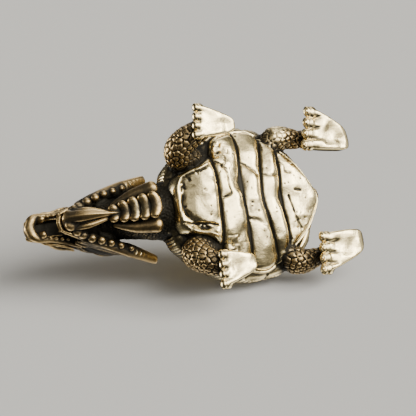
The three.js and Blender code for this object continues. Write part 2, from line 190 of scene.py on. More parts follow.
class Clay:
    """A body of clay: a grid of distances from its surface, negative inside, and kinds of surface."""

    def __init__(self, low, high, grain):
        self.grain = grain
        edge = EDGE_STEPS * grain
        self.axes = [
            np.arange(start - edge, stop + edge, grain).astype(np.float32) for start, stop in zip(low, high)
        ]
        self.distance = np.full([len(axis) for axis in self.axes], FAR, np.float32)
        self.kind = np.zeros(self.distance.shape, np.uint8)

    def window(self, low, high):
        """The part of the grid between two corners: its slices and its coordinates."""
        cut = tuple(
            slice(*(int(n) for n in np.searchsorted(axis, (start, stop))))
            for axis, start, stop in zip(self.axes, low, high)
        )
        x, y, z = (axis[part] for axis, part in zip(self.axes, cut))
        return cut, (x[:, None, None], y[None, :, None], z[None, None, :])

    def put(self, cut, shape, blend, kind, carve=False):
        """Adds a shape to the clay, or carves it away, with a fillet of about blend."""
        here = self.distance[cut]
        if carve:
            self.kind[cut][-shape > here] = GAP
            self.distance[cut] = sharper(here, -shape, blend)
            return
        self.kind[cut][shape < here] = kind
        self.distance[cut] = -sharper(-here, -shape, blend)

    def ball(self, centre, radii, blend, kind=FACE, carve=False):
        """An ellipsoid, with its radii along the axes."""
        radii = np.ones(3) * radii
        reach = radii + blend + EDGE_ROOM * self.grain
        cut, grid = self.window(centre - reach, centre + reach)
        offset = [g - np.float32(c) for g, c in zip(grid, centre)]
        share = np.sqrt(sum((v / r) ** 2 for v, r in zip(offset, radii)))
        slope = np.sqrt(sum((v / (r * r)) ** 2 for v, r in zip(offset, radii))) + 1e-6
        self.put(cut, (share * (share - 1) / slope).astype(np.float32), blend, kind, carve)

    def strand(self, path, wide, deep=None, *, side=(1, 0, 0), blend, kind=HAIR, steps=3, carve=False):
        """A round-ended strand along a smooth path. Its half width lies along side."""
        points = smooth(path, steps)
        wide = spread(wide, len(points))
        deep = wide if deep is None else spread(deep, len(points))
        reach = np.maximum(wide, deep) + blend + EDGE_ROOM * self.grain
        cut, _ = self.window(points.min(0) - reach.max(), points.max(0) + reach.max())
        shape = np.full([part.stop - part.start for part in cut], FAR, np.float32)
        for k in range(len(points) - 1):
            ends, room = points[k : k + 2], reach[k : k + 2].max()
            part, grid = self.window(ends.min(0) - room, ends.max(0) + room)
            near = stretch_distance(grid, *ends, wide[k : k + 2], deep[k : k + 2], side)
            inner = tuple(slice(p.start - c.start, p.stop - c.start) for p, c in zip(part, cut))
            shape[inner] = np.minimum(shape[inner], near)
        self.put(cut, shape, blend, kind, carve)

    def sample(self, grid, places):
        """The value of a grid at places in millimetres, by its eight nearest points."""
        origin = np.array([axis[0] for axis in self.axes])
        spot = np.clip((places - origin) / self.grain, 0, np.array(grid.shape) - 1.001)
        base = spot.astype(int)
        share = spot - base
        total = np.zeros(len(places))
        for corner in product((0, 1), repeat=3):
            weight = np.prod(np.where(corner, share, 1 - share), axis=1)
            total += weight * grid[tuple((base + corner).T)]
        return total

    def fullness(self, reach):
        """Share of solid in a cube about each point, up to reach away on each side."""
        size = int(round(reach / self.grain))
        full = (self.distance < 0).astype(np.float32)
        for axis in range(3):
            edges = [(size + 1, size) if n == axis else (0, 0) for n in range(3)]
            total = np.cumsum(np.pad(full, edges), axis=axis)
            span = np.arange(full.shape[axis])
            full = (total.take(span + 2 * size + 1, axis) - total.take(span, axis)) / (2 * size + 1)
        return full

    def skin(self):
        """The surface as places, quads that face outwards, and the kind at each place."""
        inside = self.distance < 0
        cells = np.array(inside.shape) - 1
        count = np.zeros(cells, np.uint8)
        for i, j, k in product((0, 1), repeat=3):
            count += inside[i : cells[0] + i, j : cells[1] + j, k : cells[2] + k]
        crossed = np.flatnonzero((count > 0) & (count < 8))
        cell = np.stack(np.unravel_index(crossed, count.shape), 1)
        corners = list(product((0, 1), repeat=3))
        value = np.stack([self.distance[tuple((cell + corner).T)] for corner in corners], 1)
        total, hits = np.zeros(cell.shape), np.zeros(len(cell))
        for m, n in product(range(8), repeat=2):
            step = np.subtract(corners[n], corners[m])
            if step.sum() != 1 or np.abs(step).sum() != 1:
                continue
            hit = (value[:, m] < 0) != (value[:, n] < 0)
            share = value[hit, m] / (value[hit, m] - value[hit, n])
            total[hit] += corners[m] + share[:, None] * step
            hits += hit
        origin = np.array([axis[0] for axis in self.axes])
        places = origin + (cell + total / hits[:, None]) * self.grain
        for _ in range(2):
            places = self.settle(places)
        number = np.full(cells, -1, np.int32)
        number.ravel()[crossed] = np.arange(len(crossed))
        quads = np.vstack([self.quads_across(inside, number, axis) for axis in range(3)])
        nearest = np.clip(np.round((places - origin) / self.grain).astype(int), 0, cells)
        return places, quads, self.kind[tuple(nearest.T)]

    def settle(self, places):
        """Moves places onto the surface, along the slope of the distance."""
        step = 0.75 * self.grain
        rises = [
            self.sample(self.distance, places + way) - self.sample(self.distance, places - way)
            for way in step * np.eye(3)
        ]
        slope = np.stack(rises, 1) / (2 * step)
        gap = self.sample(self.distance, places) / np.maximum((slope**2).sum(1), 0.2)
        return places - np.clip(gap, -self.grain, self.grain)[:, None] * slope

    def quads_across(self, inside, number, axis):
        """One quad for each edge of the grid along an axis that the surface crosses."""
        first = np.take(inside, range(inside.shape[axis] - 1), axis)
        second = np.take(inside, range(1, inside.shape[axis]), axis)
        spot = np.stack(np.nonzero(first != second), 1)
        leaving = first[tuple(spot.T)]
        right, up = np.eye(3, dtype=int)[[(axis + 1) % 3, (axis + 2) % 3]]
        around = [spot - right - up, spot - up, spot, spot - right]
        quads = np.stack([number[tuple(place.T)] for place in around], 1)
        quads[~leaving] = quads[~leaving][:, ::-1]
        return quads


def stretch_distance(grid, start, stop, wide, deep, side):
    """Distance to one tapered stretch of a strand."""
    length = np.linalg.norm(stop - start) + 1e-9
    ahead = (stop - start) / length
    across = np.array(side, float) - np.dot(side, ahead) * ahead
    across /= np.linalg.norm(across) + 1e-9
    over = np.cross(ahead, across)
    offset = [g - np.float32(c) for g, c in zip(grid, start)]
    along, u, v = (sum(g * np.float32(n) for g, n in zip(offset, axis)) for axis in (ahead, across, over))
    share = np.clip(along / np.float32(length), 0, 1)
    beyond = along - share * np.float32(length)
    half_width = np.float32(wide[0]) + np.float32(wide[1] - wide[0]) * share
    if np.allclose(wide, deep):
        return np.sqrt(u * u + v * v + beyond * beyond) - half_width
    half_depth = np.float32(deep[0]) + np.float32(deep[1] - deep[0]) * share
    end = np.minimum(half_width, half_depth)
    reach = np.sqrt((u / half_width) ** 2 + (v / half_depth) ** 2 + (beyond / end) ** 2)
    slope = np.sqrt((u / half_width**2) ** 2 + (v / half_depth**2) ** 2 + (beyond / end**2) ** 2)
    return reach * (reach - 1) / (slope + 1e-6)


# Carapace

# Reaches are shares of the way from the dome's top to its rim.
RING = 0.9  # inner edge of the marginal plates
MARGINAL_PLATES = 18
SPINE_SEAMS = (-0.5, -0.16, 0.2, 0.52)
SPINE_CORNERS = (-0.66, -0.33, 0.02, 0.36, 0.66)
SEAM_REACH = 0.19
CORNER_REACH = 0.33


def rim_lift(b):
    """How far the rim arches up over the neck, and a little over the tail."""
    forward, backward = np.maximum(0, -b - 0.25) / 0.75, np.maximum(0, b)
    return RIM_ARCH * (forward**2 + 0.25 * backward**4)


def marginal_seam(angle, radius):
    """Distance along the rim to the nearest seam between two marginal plates."""
    turn = angle * MARGINAL_PLATES / (2 * math.pi)
    return np.abs(turn - np.round(turn)) * 2 * math.pi / MARGINAL_PLATES * radius


def shell_window(clay, margin, low, high):
    """The clay between two levels, out to a margin around the shell."""
    corner = (HALF_WIDTH + margin, HALF_LENGTH + margin)
    return clay.window((-corner[0], -corner[1], low), (*corner, high))


def down_the_dome():
    """Shares of the reach to the rim, and the way down the dome to each of them."""
    reach = np.linspace(0, 1, 400)
    height = DOME_HEIGHT * (1 - reach**DOME_SHOULDER) ** DOME_FALL
    radius = reach * (HALF_WIDTH + HALF_LENGTH) / 2
    way = np.concatenate([[0], np.cumsum(np.hypot(np.diff(radius), np.diff(height)))])
    return reach, way


def shell_relief(x, y, sizes):
    """Height of the plates over the dome: raised from their seams, ringed by growth and crowned."""
    reaches, ways = down_the_dome()
    rim = (HALF_WIDTH + HALF_LENGTH) / 2

    def way_to(reach):
        return np.interp(reach, reaches, ways) + np.maximum(reach - 1, 0) * rim

    def unrolled(a, b):
        reach, angle = np.hypot(a, b), np.arctan2(a, b)
        return way_to(reach) * np.sin(angle), way_to(reach) * np.cos(angle)

    a, b = np.abs(x) / HALF_WIDTH, y / HALF_LENGTH
    reach, angle = np.hypot(a, b), np.arctan2(a, b)
    u, v = unrolled(a, b)
    ends = (-RING, *SPINE_SEAMS, RING)
    zigzag = [(SEAM_REACH, ends[0])]
    for corner, end in zip(SPINE_CORNERS, ends[1:]):
        zigzag += [(CORNER_REACH, corner), (SEAM_REACH, end)]
    seams = [zigzag]
    seams += [[(-SEAM_REACH, seam), (SEAM_REACH, seam)] for seam in SPINE_SEAMS]
    seams += [[(CORNER_REACH, b0), (math.sqrt(RING**2 - b0**2), b0)] for b0 in SPINE_CORNERS[1:-1]]
    # Distances are taken on the unrolled dome, so that seams and rings keep their width.
    inner = np.full(x.shape, FAR * 2)
    for seam in seams:
        line = smooth(seam, 6, tension=0)
        inner = np.minimum(inner, line_distance(u, v, np.stack(unrolled(*line.T), 1)))
    radial = marginal_seam(angle, np.hypot(x, y))
    ring = np.abs(way_to(reach) - way_to(RING))
    seam = np.minimum(ring, np.where(reach < RING, inner, radial))
    raised = sizes.plate_raise / MM * ramp(seam, 0.02, 0.5)
    crown = 0.3 * ramp(seam, 0, 3.2)
    rings = 0.05 * np.cos(2 * math.pi * seam / (sizes.ring_pitch / MM)) * ramp(seam, 0.3, 0.6)
    rings *= 1 - ramp(seam, 1.5, 2.6)
    return raised + crown + rings + 0.05 * unevenness(x, y, 1.3, 5) - 0.05


def model_carapace(clay, sizes):
    """The dome of the shell, with its plates."""
    top = RIM_LEVEL + RIM_THICKNESS + DOME_HEIGHT
    cut, (x, y, z) = shell_window(clay, 1.5, RIM_LEVEL - 1.5, top + 1.5)
    a, b = x / HALF_WIDTH, y / HALF_LENGTH
    reach = np.sqrt(a * a + b * b)
    lift = rim_lift(b) * np.minimum(reach, 1) ** 3
    share = np.maximum((z - RIM_LEVEL - RIM_THICKNESS - lift) / DOME_HEIGHT, 0)
    dome = evened(reach**DOME_SHOULDER + share ** (1 / DOME_FALL) - 1, clay.grain)
    relief = shell_relief(*np.broadcast_arrays(x[:, :, 0], y[:, :, 0]), sizes)
    dome = dome - relief[:, :, None].astype(np.float32)
    under = RIM_LEVEL + 0.4 + lift - z
    clay.put(cut, sharper(dome, under, 0.3), 0.3, SHELL)


def model_rim(clay):
    """The rim's band, which flares a little and turns down around the body."""
    reach_out, thick, roundness = 0.66, 0.8, 2.4
    cut, (x, y, z) = shell_window(clay, 2, RIM_LEVEL - 2, RIM_LEVEL + RIM_ARCH + 3)
    b = y / HALF_LENGTH
    reach = np.sqrt((x / HALF_WIDTH) ** 2 + b * b)
    radius = np.sqrt(x * x + y * y)
    seam = marginal_seam(np.arctan2(np.abs(x), y), radius)
    out = (reach - 0.965) * radius / (reach + 1e-6)
    up = z - (RIM_LEVEL + rim_lift(b) + 0.45 + 0.25 * out)
    band = (np.abs(out / reach_out) ** roundness + np.abs(up / thick) ** roundness) ** (1 / roundness)
    clay.put(cut, (band - 1) * reach_out + 0.16 * bump(seam, 0.2), 0.25, SHELL)


def model_trunk(clay):
    """The body between the two shells. It flares from the plastron's edge to the rim."""
    middle = RIM_LEVEL + 0.5
    radii = (0.93 * HALF_WIDTH, 0.9 * HALF_LENGTH, middle - BELLY_LEVEL - 0.6)
    clay.ball(np.array((0, -0.02 * HALF_LENGTH, middle)), radii, blend=0.4, kind=SHELL)


# Plastron

PLASTRON_EDGE = (
    (0, -0.97), (0.22, -0.96), (0.36, -0.9), (0.43, -0.79), (0.47, -0.67), (0.58, -0.5), (0.81, -0.37),
    (0.91, -0.05), (0.92, 0.12), (0.85, 0.24), (0.67, 0.44), (0.5, 0.63), (0.3, 0.78), (0, 0.93),
)

# Furrows across the plastron, from the figure's left to its right
FURROWS = (
    ((0.66, -0.5), (0.34, -0.47), (0, -0.47), (-0.37, -0.48), (-0.62, -0.49)),
    ((0.9, -0.08), (0.67, -0.09), (0.31, -0.14), (-0.09, -0.15), (-0.44, -0.12), (-0.9, -0.09)),
    ((0.88, 0.3), (0.66, 0.23), (0.3, 0.15), (0, 0.13), (-0.29, 0.17), (-0.66, 0.25), (-0.88, 0.3)),
    ((0.72, 0.45), (0.39, 0.43), (0.02, 0.4), (-0.36, 0.43), (-0.59, 0.44), (-0.7, 0.4)),
)
# Thin cracks and shallow creases: their places, width and depth
CRACKS = (
    (((0.5, -0.45), (0.42, -0.37), (0.3, -0.34), (0.18, -0.34), (0.07, -0.33), (0.02, -0.43)), 0.14, 0.22),
    (((0.43, -0.4), (0.5, -0.33), (0.58, -0.31)), 0.14, 0.2),
    (((0.5, -0.1), (0.44, -0.03), (0.38, 0.04), (0.33, 0.08)), 0.15, 0.2),
    (((0.02, 0.5), (-0.14, 0.53), (-0.28, 0.55), (-0.42, 0.62)), 0.15, 0.2),
    (((-0.26, -0.93), (-0.28, -0.79), (-0.3, -0.67), (-0.33, -0.55)), 0.16, 0.3),
    (((0.34, 0.16), (0.3, 0.26), (0.31, 0.37)), 0.18, 0.12),
    (((-0.27, -0.1), (-0.3, 0), (-0.36, 0.09)), 0.3, 0.12),
    (((0.5, 0.44), (0.45, 0.5), (0.36, 0.5), (0.33, 0.58)), 0.13, 0.14),
    (((0.1, 0.58), (0.09, 0.68)), 0.13, 0.16),
    (((-0.36, -0.86), (-0.31, -0.83)), 0.12, 0.2),
    (((-0.38, -0.74), (-0.3, -0.71), (-0.36, -0.66)), 0.12, 0.2),
)
LOBE_BOSS = ((0.03, -0.67), (0.34, 0.19))  # middle and half sizes
PITS = 130


def belly_level(x, y):
    """Level of the plastron's underside."""
    forward = np.maximum(0, -y / HALF_LENGTH - 0.42) / 0.58
    backward = np.maximum(0, y / HALF_LENGTH - 0.3)
    sideways = np.abs(x) / HALF_WIDTH
    return BELLY_LEVEL + LOBE_RISE * forward**1.4 + 2.2 * sideways**3 + 1.6 * backward**2


def on_plate(points, steps=6, **options):
    """A smooth curve on the plate, in millimetres, through points given as shares."""
    return smooth(np.array(points) * (HALF_WIDTH, HALF_LENGTH), steps, **options)


def plastron_outline():
    right = [(-a, b) for a, b in reversed(PLASTRON_EDGE[1:-1])]
    return on_plate((*PLASTRON_EDGE, *right), closed=True, tension=0.35)


def plastron_relief(x, y, edge, sizes):
    """How far the plastron's carving stands out of its plain face, and how dark its creases are."""
    a, b = x / HALF_WIDTH, y / HALF_LENGTH
    relief, dark = np.zeros(x.shape), np.zeros(x.shape)
    for line in FURROWS:
        path = on_plate(line)[::-1]
        ahead = y - np.interp(x, *path.T)
        right, left = path[0, 0], path[-1, 0]
        ends = ramp(x, right - 0.8, right + 0.4) * (1 - ramp(x, left - 0.4, left + 0.8))
        slump = bump(ahead, np.where(ahead > 0, 1.2, 0.9))
        depth = sizes.furrow_depth / MM * (1 + 0.3 * unevenness(x, y, 2.5, 11))
        relief -= ends * depth * (0.45 * bump(ahead, 0.25) + 0.5 * slump)
        dark = np.maximum(dark, ends * bump(ahead - 0.08, 0.2))
    for line, width, depth in CRACKS:
        crack = bump(line_distance(x, y, on_plate(line, 4)) + 0.05 * unevenness(x, y, 0.4, 13), width)
        relief -= depth * crack
        dark = np.maximum(dark, crack * min(1, depth * 2.2))
    # The front lobe: a worn boss, a moat ahead of it and to its right, and a raised edge
    lobe = 1 - ramp(b, -0.62, -0.5)
    (boss_a, boss_b), (half_a, half_b) = LOBE_BOSS
    oval = np.sqrt(((a - boss_a) / half_a) ** 2 + ((b - boss_b) / half_b) ** 2)
    oval = oval + 0.12 * unevenness(x, y, 1.7, 14)
    moat = bump(oval - 1.12, 0.13) * (1 - ramp(b, -0.74, -0.56)) * (1 - ramp(a, 0.0, 0.2))
    relief += 0.52 * np.clip(1 - oval**2 / 1.25, 0, 1)
    relief -= 0.3 * moat * (1 + 0.8 * unevenness(x, y, 0.8, 12))
    relief += 0.5 * bump(edge + 0.35, 0.5) * lobe
    # The hammered face, dents at the shoulders, and grit where the casting is rough
    relief += 0.24 * unevenness(x, y, 2.7, 3) + 0.07 * unevenness(x, y, 0.9, 4)
    shoulder = bump(np.abs(a) - 0.66, 0.17) * bump(b + 0.4, 0.13)
    relief -= shoulder * (0.2 + 0.3 * np.abs(unevenness(x, y, 0.55, 6)))
    rough_edge = bump(edge + 1.2, 0.5) * ramp(a, 0, 0.2)
    crowd = np.maximum(np.maximum(0.6 * moat, rough_edge) * lobe, shoulder) + 0.12 * lobe
    grit = unevenness(x, y, 0.27, 31) + 0.4 * unevenness(x, y, 1.4, 32) + 0.42 * np.minimum(crowd, 1)
    grit = ramp(grit, 1.05, 1.3)
    relief -= 0.14 * grit
    dark = np.maximum(dark, 0.7 * grit)
    # Single pits: the range of each one's place across and along, its width and its depth
    random = np.random.default_rng(8)
    ranges = ((-0.85, 0.9), (-0.97, 0.8), (0.06, 0.13), (0.05, 0.2))
    for pit_a, pit_b, width, depth in zip(*[random.uniform(*ends, PITS) for ends in ranges]):
        stretch = random.uniform(0.6, 1.4)
        pit = bump(np.hypot(x - pit_a * HALF_WIDTH, (y - pit_b * HALF_LENGTH) * stretch), width)
        relief -= depth * pit
        dark = np.maximum(dark, pit * depth * 3)
    return relief, dark


def model_plastron(clay, sizes):
    """The belly plate, with its carving, and a thin flange around it."""
    top = BELLY_LEVEL + LOBE_RISE + PLASTRON_THICKNESS
    cut, (x, y, z) = shell_window(clay, 1, BELLY_LEVEL - 1.5, top + 1.5)
    plan_x, plan_y = np.broadcast_arrays(x[:, :, 0], y[:, :, 0])
    edge = outline_distance(plan_x, plan_y, plastron_outline())
    plain = belly_level(plan_x, plan_y)
    relief, dark = plastron_relief(plan_x, plan_y, edge, sizes)
    face = plain - relief
    slope = np.sqrt(1 + sum(part**2 for part in np.gradient(face, clay.grain)))
    parts = (edge, plain, face, slope)
    edge, plain, face, slope = (part[:, :, None].astype(np.float32) for part in parts)
    top = z - plain - PLASTRON_THICKNESS
    plate = sharper(sharper(edge, (face - z) / slope, 0.45), top, 0.4)
    clay.put(cut, plate, 0.12, BELLY)
    clay.kind[cut][(dark[:, :, None] > 0.5) & (z < face + 0.35) & (plate < 0.4)] = GAP
    flange_reach = 0.55 * ramp(y / HALF_LENGTH, -0.45, -0.25) - 0.3
    level = np.maximum(plain + 0.4 + 0.3 * bump(edge - 0.1, 0.14), face + 0.3)
    flange = sharper(sharper(edge - flange_reach - 0.25, level - z, 0.15), top - 0.6, 0.4)
    clay.put(cut, flange, 0.1, BELLY)


# Legs, feet and tail

# Each foot, with places as shares: the ends of its row of toes, its heel's corners, the middle line of
# its leg, with levels, and how thick the leg is along that line, in leg radii
FEET = (
    {
        "toes": ((0.76, -0.83), (1.2, -0.75)),
        "heel": ((1.03, -0.29), (0.82, -0.29)),
        "leg": ((0.5, -0.5, 7.4), (0.66, -0.82, 5.6), (0.8, -0.82, 3.7), (0.92, -0.62, 2.2)),
        "swell": (1.0, 1.08, 0.9, 0.72),
    },
    {
        "toes": ((-0.74, -0.73), (-1.21, -0.77)),
        "heel": ((-1.01, -0.29), (-0.78, -0.31)),
        "leg": ((-0.5, -0.5, 7.4), (-0.66, -0.8, 5.6), (-0.8, -0.78, 3.7), (-0.92, -0.6, 2.2)),
        "swell": (1.0, 1.08, 0.9, 0.72),
    },
    {
        "toes": ((0.6, 0.74), (1.15, 0.89)),
        "heel": ((0.86, 1.35), (0.56, 1.35)),
        "leg": ((0.5, 0.3, 7.0), (0.82, 0.53, 5.0), (0.8, 0.82, 4.0), (0.78, 1.0, 2.0)),
        "swell": (0.85, 0.92, 0.62, 0.75),
    },
    {
        "toes": ((-0.55, 0.79), (-1.08, 0.72)),
        "heel": ((-0.82, 1.31), (-0.5, 1.32)),
        "leg": ((-0.5, 0.3, 7.0), (-0.82, 0.55, 5.0), (-0.8, 0.82, 4.0), (-0.77, 1.0, 2.0)),
        "swell": (0.85, 0.95, 0.62, 0.75),
    },
)
TOES = 4
FIRST_TOE, TOE_ROW = 0.1, 0.8  # where the first toe stands in its row, and how far the last is from it

# Places that are rubbed bright, each with how far the rubbing reaches
RUBBED_KNEE = (10.2, 6.2, 4.0), 2.2
RUBBED_THROAT = (0.1, -17.8, 8.4), 2.8


def on_ground(share):
    return np.array(share) * (HALF_WIDTH, HALF_LENGTH)


def is_rear(foot):
    return foot["toes"][0][1] > 0


def model_leg(clay, foot):
    """A bent leg, with a thick thigh where it is a rear one."""
    path = [(*on_ground(place[:2]), place[2]) for place in foot["leg"]]
    clay.strand(path, [share * LEG_RADIUS for share in foot["swell"]], blend=0.5, kind=SKIN, steps=5)
    if is_rear(foot):
        clay.ball(np.array(path[1]), 2.0, blend=0.3, kind=SKIN)


def pad_outline(corners):
    """The pad's rounded outline. Its sides run on beyond the toes, where it is cut off later."""
    beyond = (corners - corners[::-1]) * ((0.2,), (0.2,), (0,), (0,))
    corners = corners + beyond
    rounded = []
    for k, corner in enumerate(corners):
        for other in (corners[k - 1], corners[(k + 1) % 4]):
            rounded.append(corner + (other - corner) * 0.2)
    return smooth(rounded, 4, closed=True, tension=0.4)


def model_foot(clay, foot):
    """A thick pad with a slightly hollow sole, and toes along its front."""
    rear = is_rear(foot)
    corners = np.array([on_ground(place) for place in (*foot["toes"], *foot["heel"])])
    outline = pad_outline(corners)
    cut, (x, y, z) = clay.window((*outline.min(0) - 1.2, -1), (*outline.max(0) + 1.2, FOOT_HEIGHT + 1.5))
    plan_x, plan_y = np.broadcast_arrays(x[:, :, 0], y[:, :, 0])
    plan = outline_distance(plan_x, plan_y, outline)
    inset = np.interp(z, (0, 0.4, 1.5, FOOT_HEIGHT, FOOT_HEIGHT + 1), (0.15, 0, 0.06, 0.55, 1.7))
    shape = sharper(plan[:, :, None] + inset, z - FOOT_HEIGHT - 0.1, 0.6)
    if rear:  # the heel slopes up
        heel = corners[2:, 1].max() - 1.25
        shape = sharper(shape, (y - heel) * 0.42 - z * 0.9, 0.12)
    # The pad ends along the row of toes, and grooves run from there into the sole.
    toe_root, groove = (0.35, 2.3) if rear else (0.45, 1.3)
    order = np.argsort(corners[:2, 0])
    front = np.interp(plan_x, *corners[:2][order].T)
    shape = sharper(shape, (front + toe_root - plan_y)[:, :, None], 0.4)
    across = (plan_x - corners[0, 0]) / (corners[1, 0] - corners[0, 0])
    gap = (across - FIRST_TOE) / (TOE_ROW / (TOES - 1)) - 0.5
    gap = np.abs(gap - np.clip(np.round(gap), 0, TOES - 2))
    hollow = 0.26 * ramp(-plan, 0.3, 1.9) * (0.8 + 0.7 * unevenness(plan_x, plan_y, 1.4, 21))
    near_toes = ramp(front + groove - plan_y, 0, 1.4)
    sole = 0.06 + hollow + near_toes * (0.04 + 0.3 * bump(gap, 0.14))
    sole = sole - 0.16 * unevenness(plan_x, plan_y, 1.3, 22)
    clay.put(cut, sharper(shape, sole[:, :, None] - z, 0.2).astype(np.float32), 0.3, FOOT)
    clay.kind[cut][(clay.kind[cut] == FOOT) & (z > 0.8)] = KNOB
    behind_toes = front[:, :, None] + toe_root + 0.15 > plan_y[:, :, None]
    clay.kind[cut][behind_toes & (z > 0.3) & (shape < 0.3)] = GAP
    model_toes(clay, *corners[:2], rear)


def model_toes(clay, inner, outer, rear):
    """Four thick toes in a row, almost touching: a knuckle and a blunt claw each."""
    width = abs(outer[0] - inner[0])
    half = 0.58 * TOE_ROW * width / (TOES - 1)
    reach, length, back = (0.75, 0.6, 0.1) if rear else (0.55, 0.5, 0.4)
    for k in range(TOES):
        share = k / (TOES - 1)
        x, y = inner + (outer - inner) * (FIRST_TOE + TOE_ROW * share) + (0, back)
        fan = (share - 0.4) * 0.25 * np.sign(outer[0] - inner[0])
        root = [(x - fan, y + 0.9, 1.05), (x, y + 0.3, 0.85)]
        tip = np.array((x + fan * reach, y - reach, 0.74))
        clay.strand(root, (0.7 * half, half), (0.5, 0.62), blend=0.1, kind=FOOT)
        # The knuckles and claws take the darker knob kind, partly for patina and partly as painted shade
        # where they turn away from the light.
        clay.ball((x, y, 0.76), (half, length, 0.64), blend=0.03, kind=KNOB)
        clay.ball(tip, (0.9 * half, 0.75 * reach, 0.58), blend=0.03, kind=KNOB)
        if rear:
            clay.ball(tip + (0, -0.4, -0.34), (0.5, 0.3, 0.3), blend=0.02, kind=KNOB, carve=True)
            clay.ball(tip + (0, -0.42, -0.34), (0.3, 0.24, 0.24), blend=0.02, kind=KNOB)


def model_tail(clay):
    """The tail, which curls up to the left behind the shell, with a tuft of three locks."""
    path = [(0, 9.2, 5.8), (0.3, 12.0, 5.7), (1.5, 13.4, 6.7), (3.3, 13.1, 8.1)]
    clay.strand(path, (1.9, 1.2, 0.8, 0.3), blend=0.4, kind=SKIN, steps=6)
    for turn in (-1, 0, 1):
        middle = (2.4, 13.5 + 0.1 * turn, 7.5 + 0.6 * turn)
        tuft = [(1.1, 13.2, 6.5 + 0.4 * turn), middle, (3.4, 12.9, 8.4 + 0.9 * turn)]
        clay.strand(tuft, (0.35, 0.4, 0.12), blend=0.08)


# Neck and throat

NECK = ((0, -8.96, 9.6), (0, -14.0, 12.3), (0, -17.8, 15.0), (0, -21.4, 17.3))
THROAT_LOW = np.array((0.2, -15.5, 7.0))
THROAT_HIGH = np.array((0, -19.9, 11.3))
THROAT_MIDDLE = (THROAT_LOW + THROAT_HIGH) / 2
THROAT_BANDS = 5


def model_neck(clay):
    """The neck, and the core on which the throat's bands lie."""
    clay.strand(NECK, (4.9, 3.6, 2.8, 2.4), (4.2, 4.4, 3.9, 2.7), blend=0.5, kind=PEBBLE, steps=4)
    core = [THROAT_LOW + (0, 0.9, 1.6), THROAT_MIDDLE + (0, 1.0, 1.3), THROAT_HIGH + (0, 0.9, 1.2)]
    clay.strand(core, (2.0, 1.7, 1.4), (1.6, 1.5, 1.3), blend=0.5, kind=PEBBLE)


def model_throat(clay):
    """Five crescent bands up the throat, between two smooth folds."""
    ahead = (THROAT_HIGH - THROAT_LOW) / np.linalg.norm(THROAT_HIGH - THROAT_LOW)
    outward = np.cross(ahead, (1, 0, 0))
    wide, deep = (0.68, 0.88, 0.9, 0.88, 0.68), (0.46, 0.68, 0.75, 0.68, 0.46)
    for k in range(THROAT_BANDS):
        share = k / (THROAT_BANDS - 1)
        centre = THROAT_LOW + (THROAT_HIGH - THROAT_LOW) * share - outward * 0.08
        half = 1.55 - 0.7 * share**2
        path = [
            centre + np.array((u * half, 0, 0)) - ahead * 0.3 * (1 - u * u) - outward * 0.65 * u * u
            for u in (-1, -0.5, 0, 0.5, 1)
        ]
        clay.strand(path, wide, deep, side=ahead, blend=0.02, kind=FACE)
    for side in (1, -1):
        fold = [
            THROAT_LOW + (side * 2.75, 0.6, 0.9) - outward * 0.1,
            THROAT_MIDDLE + (side * 2.35, 0.5, 0.8),
            THROAT_HIGH + (side * 1.5, 0.3, 0.5),
        ]
        clay.strand(fold, (1.15, 0.9, 0.35), (0.95, 0.8, 0.35), blend=0.1, kind=FACE, steps=5)


# Head


def on_head(across, forward, up):
    """A place given from the corner of the mouth."""
    return np.array((across, -MOUTH_REACH - forward, MOUTH_LEVEL + up), float)


def path_on_head(side, *places):
    return [on_head(side * across, forward, up) for across, forward, up in places]


def lock(clay, path, width, radius):
    """Four hairs that lie beside each other, swell apart in the middle and meet at the tip."""
    points = smooth(path, 4)
    share = np.linspace(0, 1, len(points))[:, None]
    ahead = points[-1] - points[0]
    across = np.array((0, 0, 1)) - ahead[2] * ahead / np.dot(ahead, ahead)
    across /= np.linalg.norm(across)
    swell = width * np.sin(math.pi * (0.12 + 0.88 * share)) ** 0.8
    for k in range(4):
        place = 2 * k / 3 - 1  # from -1 to 1
        wave = 0.12 * width * np.sin(3.5 * share + 2.1 * k)
        thick = radius * (1.15 - 0.3 * abs(place)) * np.array((0.75, 1, 1, 0.8, 0.3))
        clay.strand(points + across * swell * (place + wave), thick, blend=0.06, steps=1)


def model_skull(clay):
    """The head's large forms: the skull, the cheeks, the snout and the jaw."""
    clay.ball(on_head(0, -0.4, 1.5), (2.6, 3.4, 2.5), blend=0.5)
    clay.ball(on_head(0, -0.2, -1.3), (2.45, 2.6, 2.6), blend=0.5)
    snout = path_on_head(1, (0, 0, 2.2), (0, 3.9, 2.0), (0, 6.3, 2.15), (0, 7.4, 2.15))
    clay.strand(snout, (2.6, 2.1, 1.8, 1.5), (2.3, 1.4, 1.1, 1.0), blend=0.4, kind=FACE, steps=5)
    jaw = path_on_head(1, (0, -1.2, -0.9), (0, 1.9, -2.9), (0, 4.1, -2.95))
    clay.strand(jaw, (2.3, 1.8, 1.25), (2.3, 1.45, 0.95), blend=0.4, kind=FACE, steps=5)
    clay.ball(on_head(0, 7.7, 2.5), (1.3, 0.85, 0.85), blend=0.3)


def mouth_wedge(clay, half, corner, front, low, high):
    """Carves the open mouth: a wedge with its edge at the corner of the mouth."""
    outline = ((corner, (low + high) / 2), (front, low), (front, high), ((corner + front) / 2, high))
    outline = np.array(outline) * (-1, 1) + (-MOUTH_REACH, MOUTH_LEVEL)
    low_corner, high_corner = outline.min(0) - 1, outline.max(0) + 1
    cut, (x, y, z) = clay.window((-half - 1, *low_corner), (half + 1, *high_corner))
    side_y, side_z = np.broadcast_arrays(y[0], z[0])
    wedge = outline_distance(side_y, side_z, outline)[None]
    shape = sharper(wedge, np.abs(x) - half, 0.3).astype(np.float32)
    clay.put(cut, shape, 0.15, FACE, carve=True)


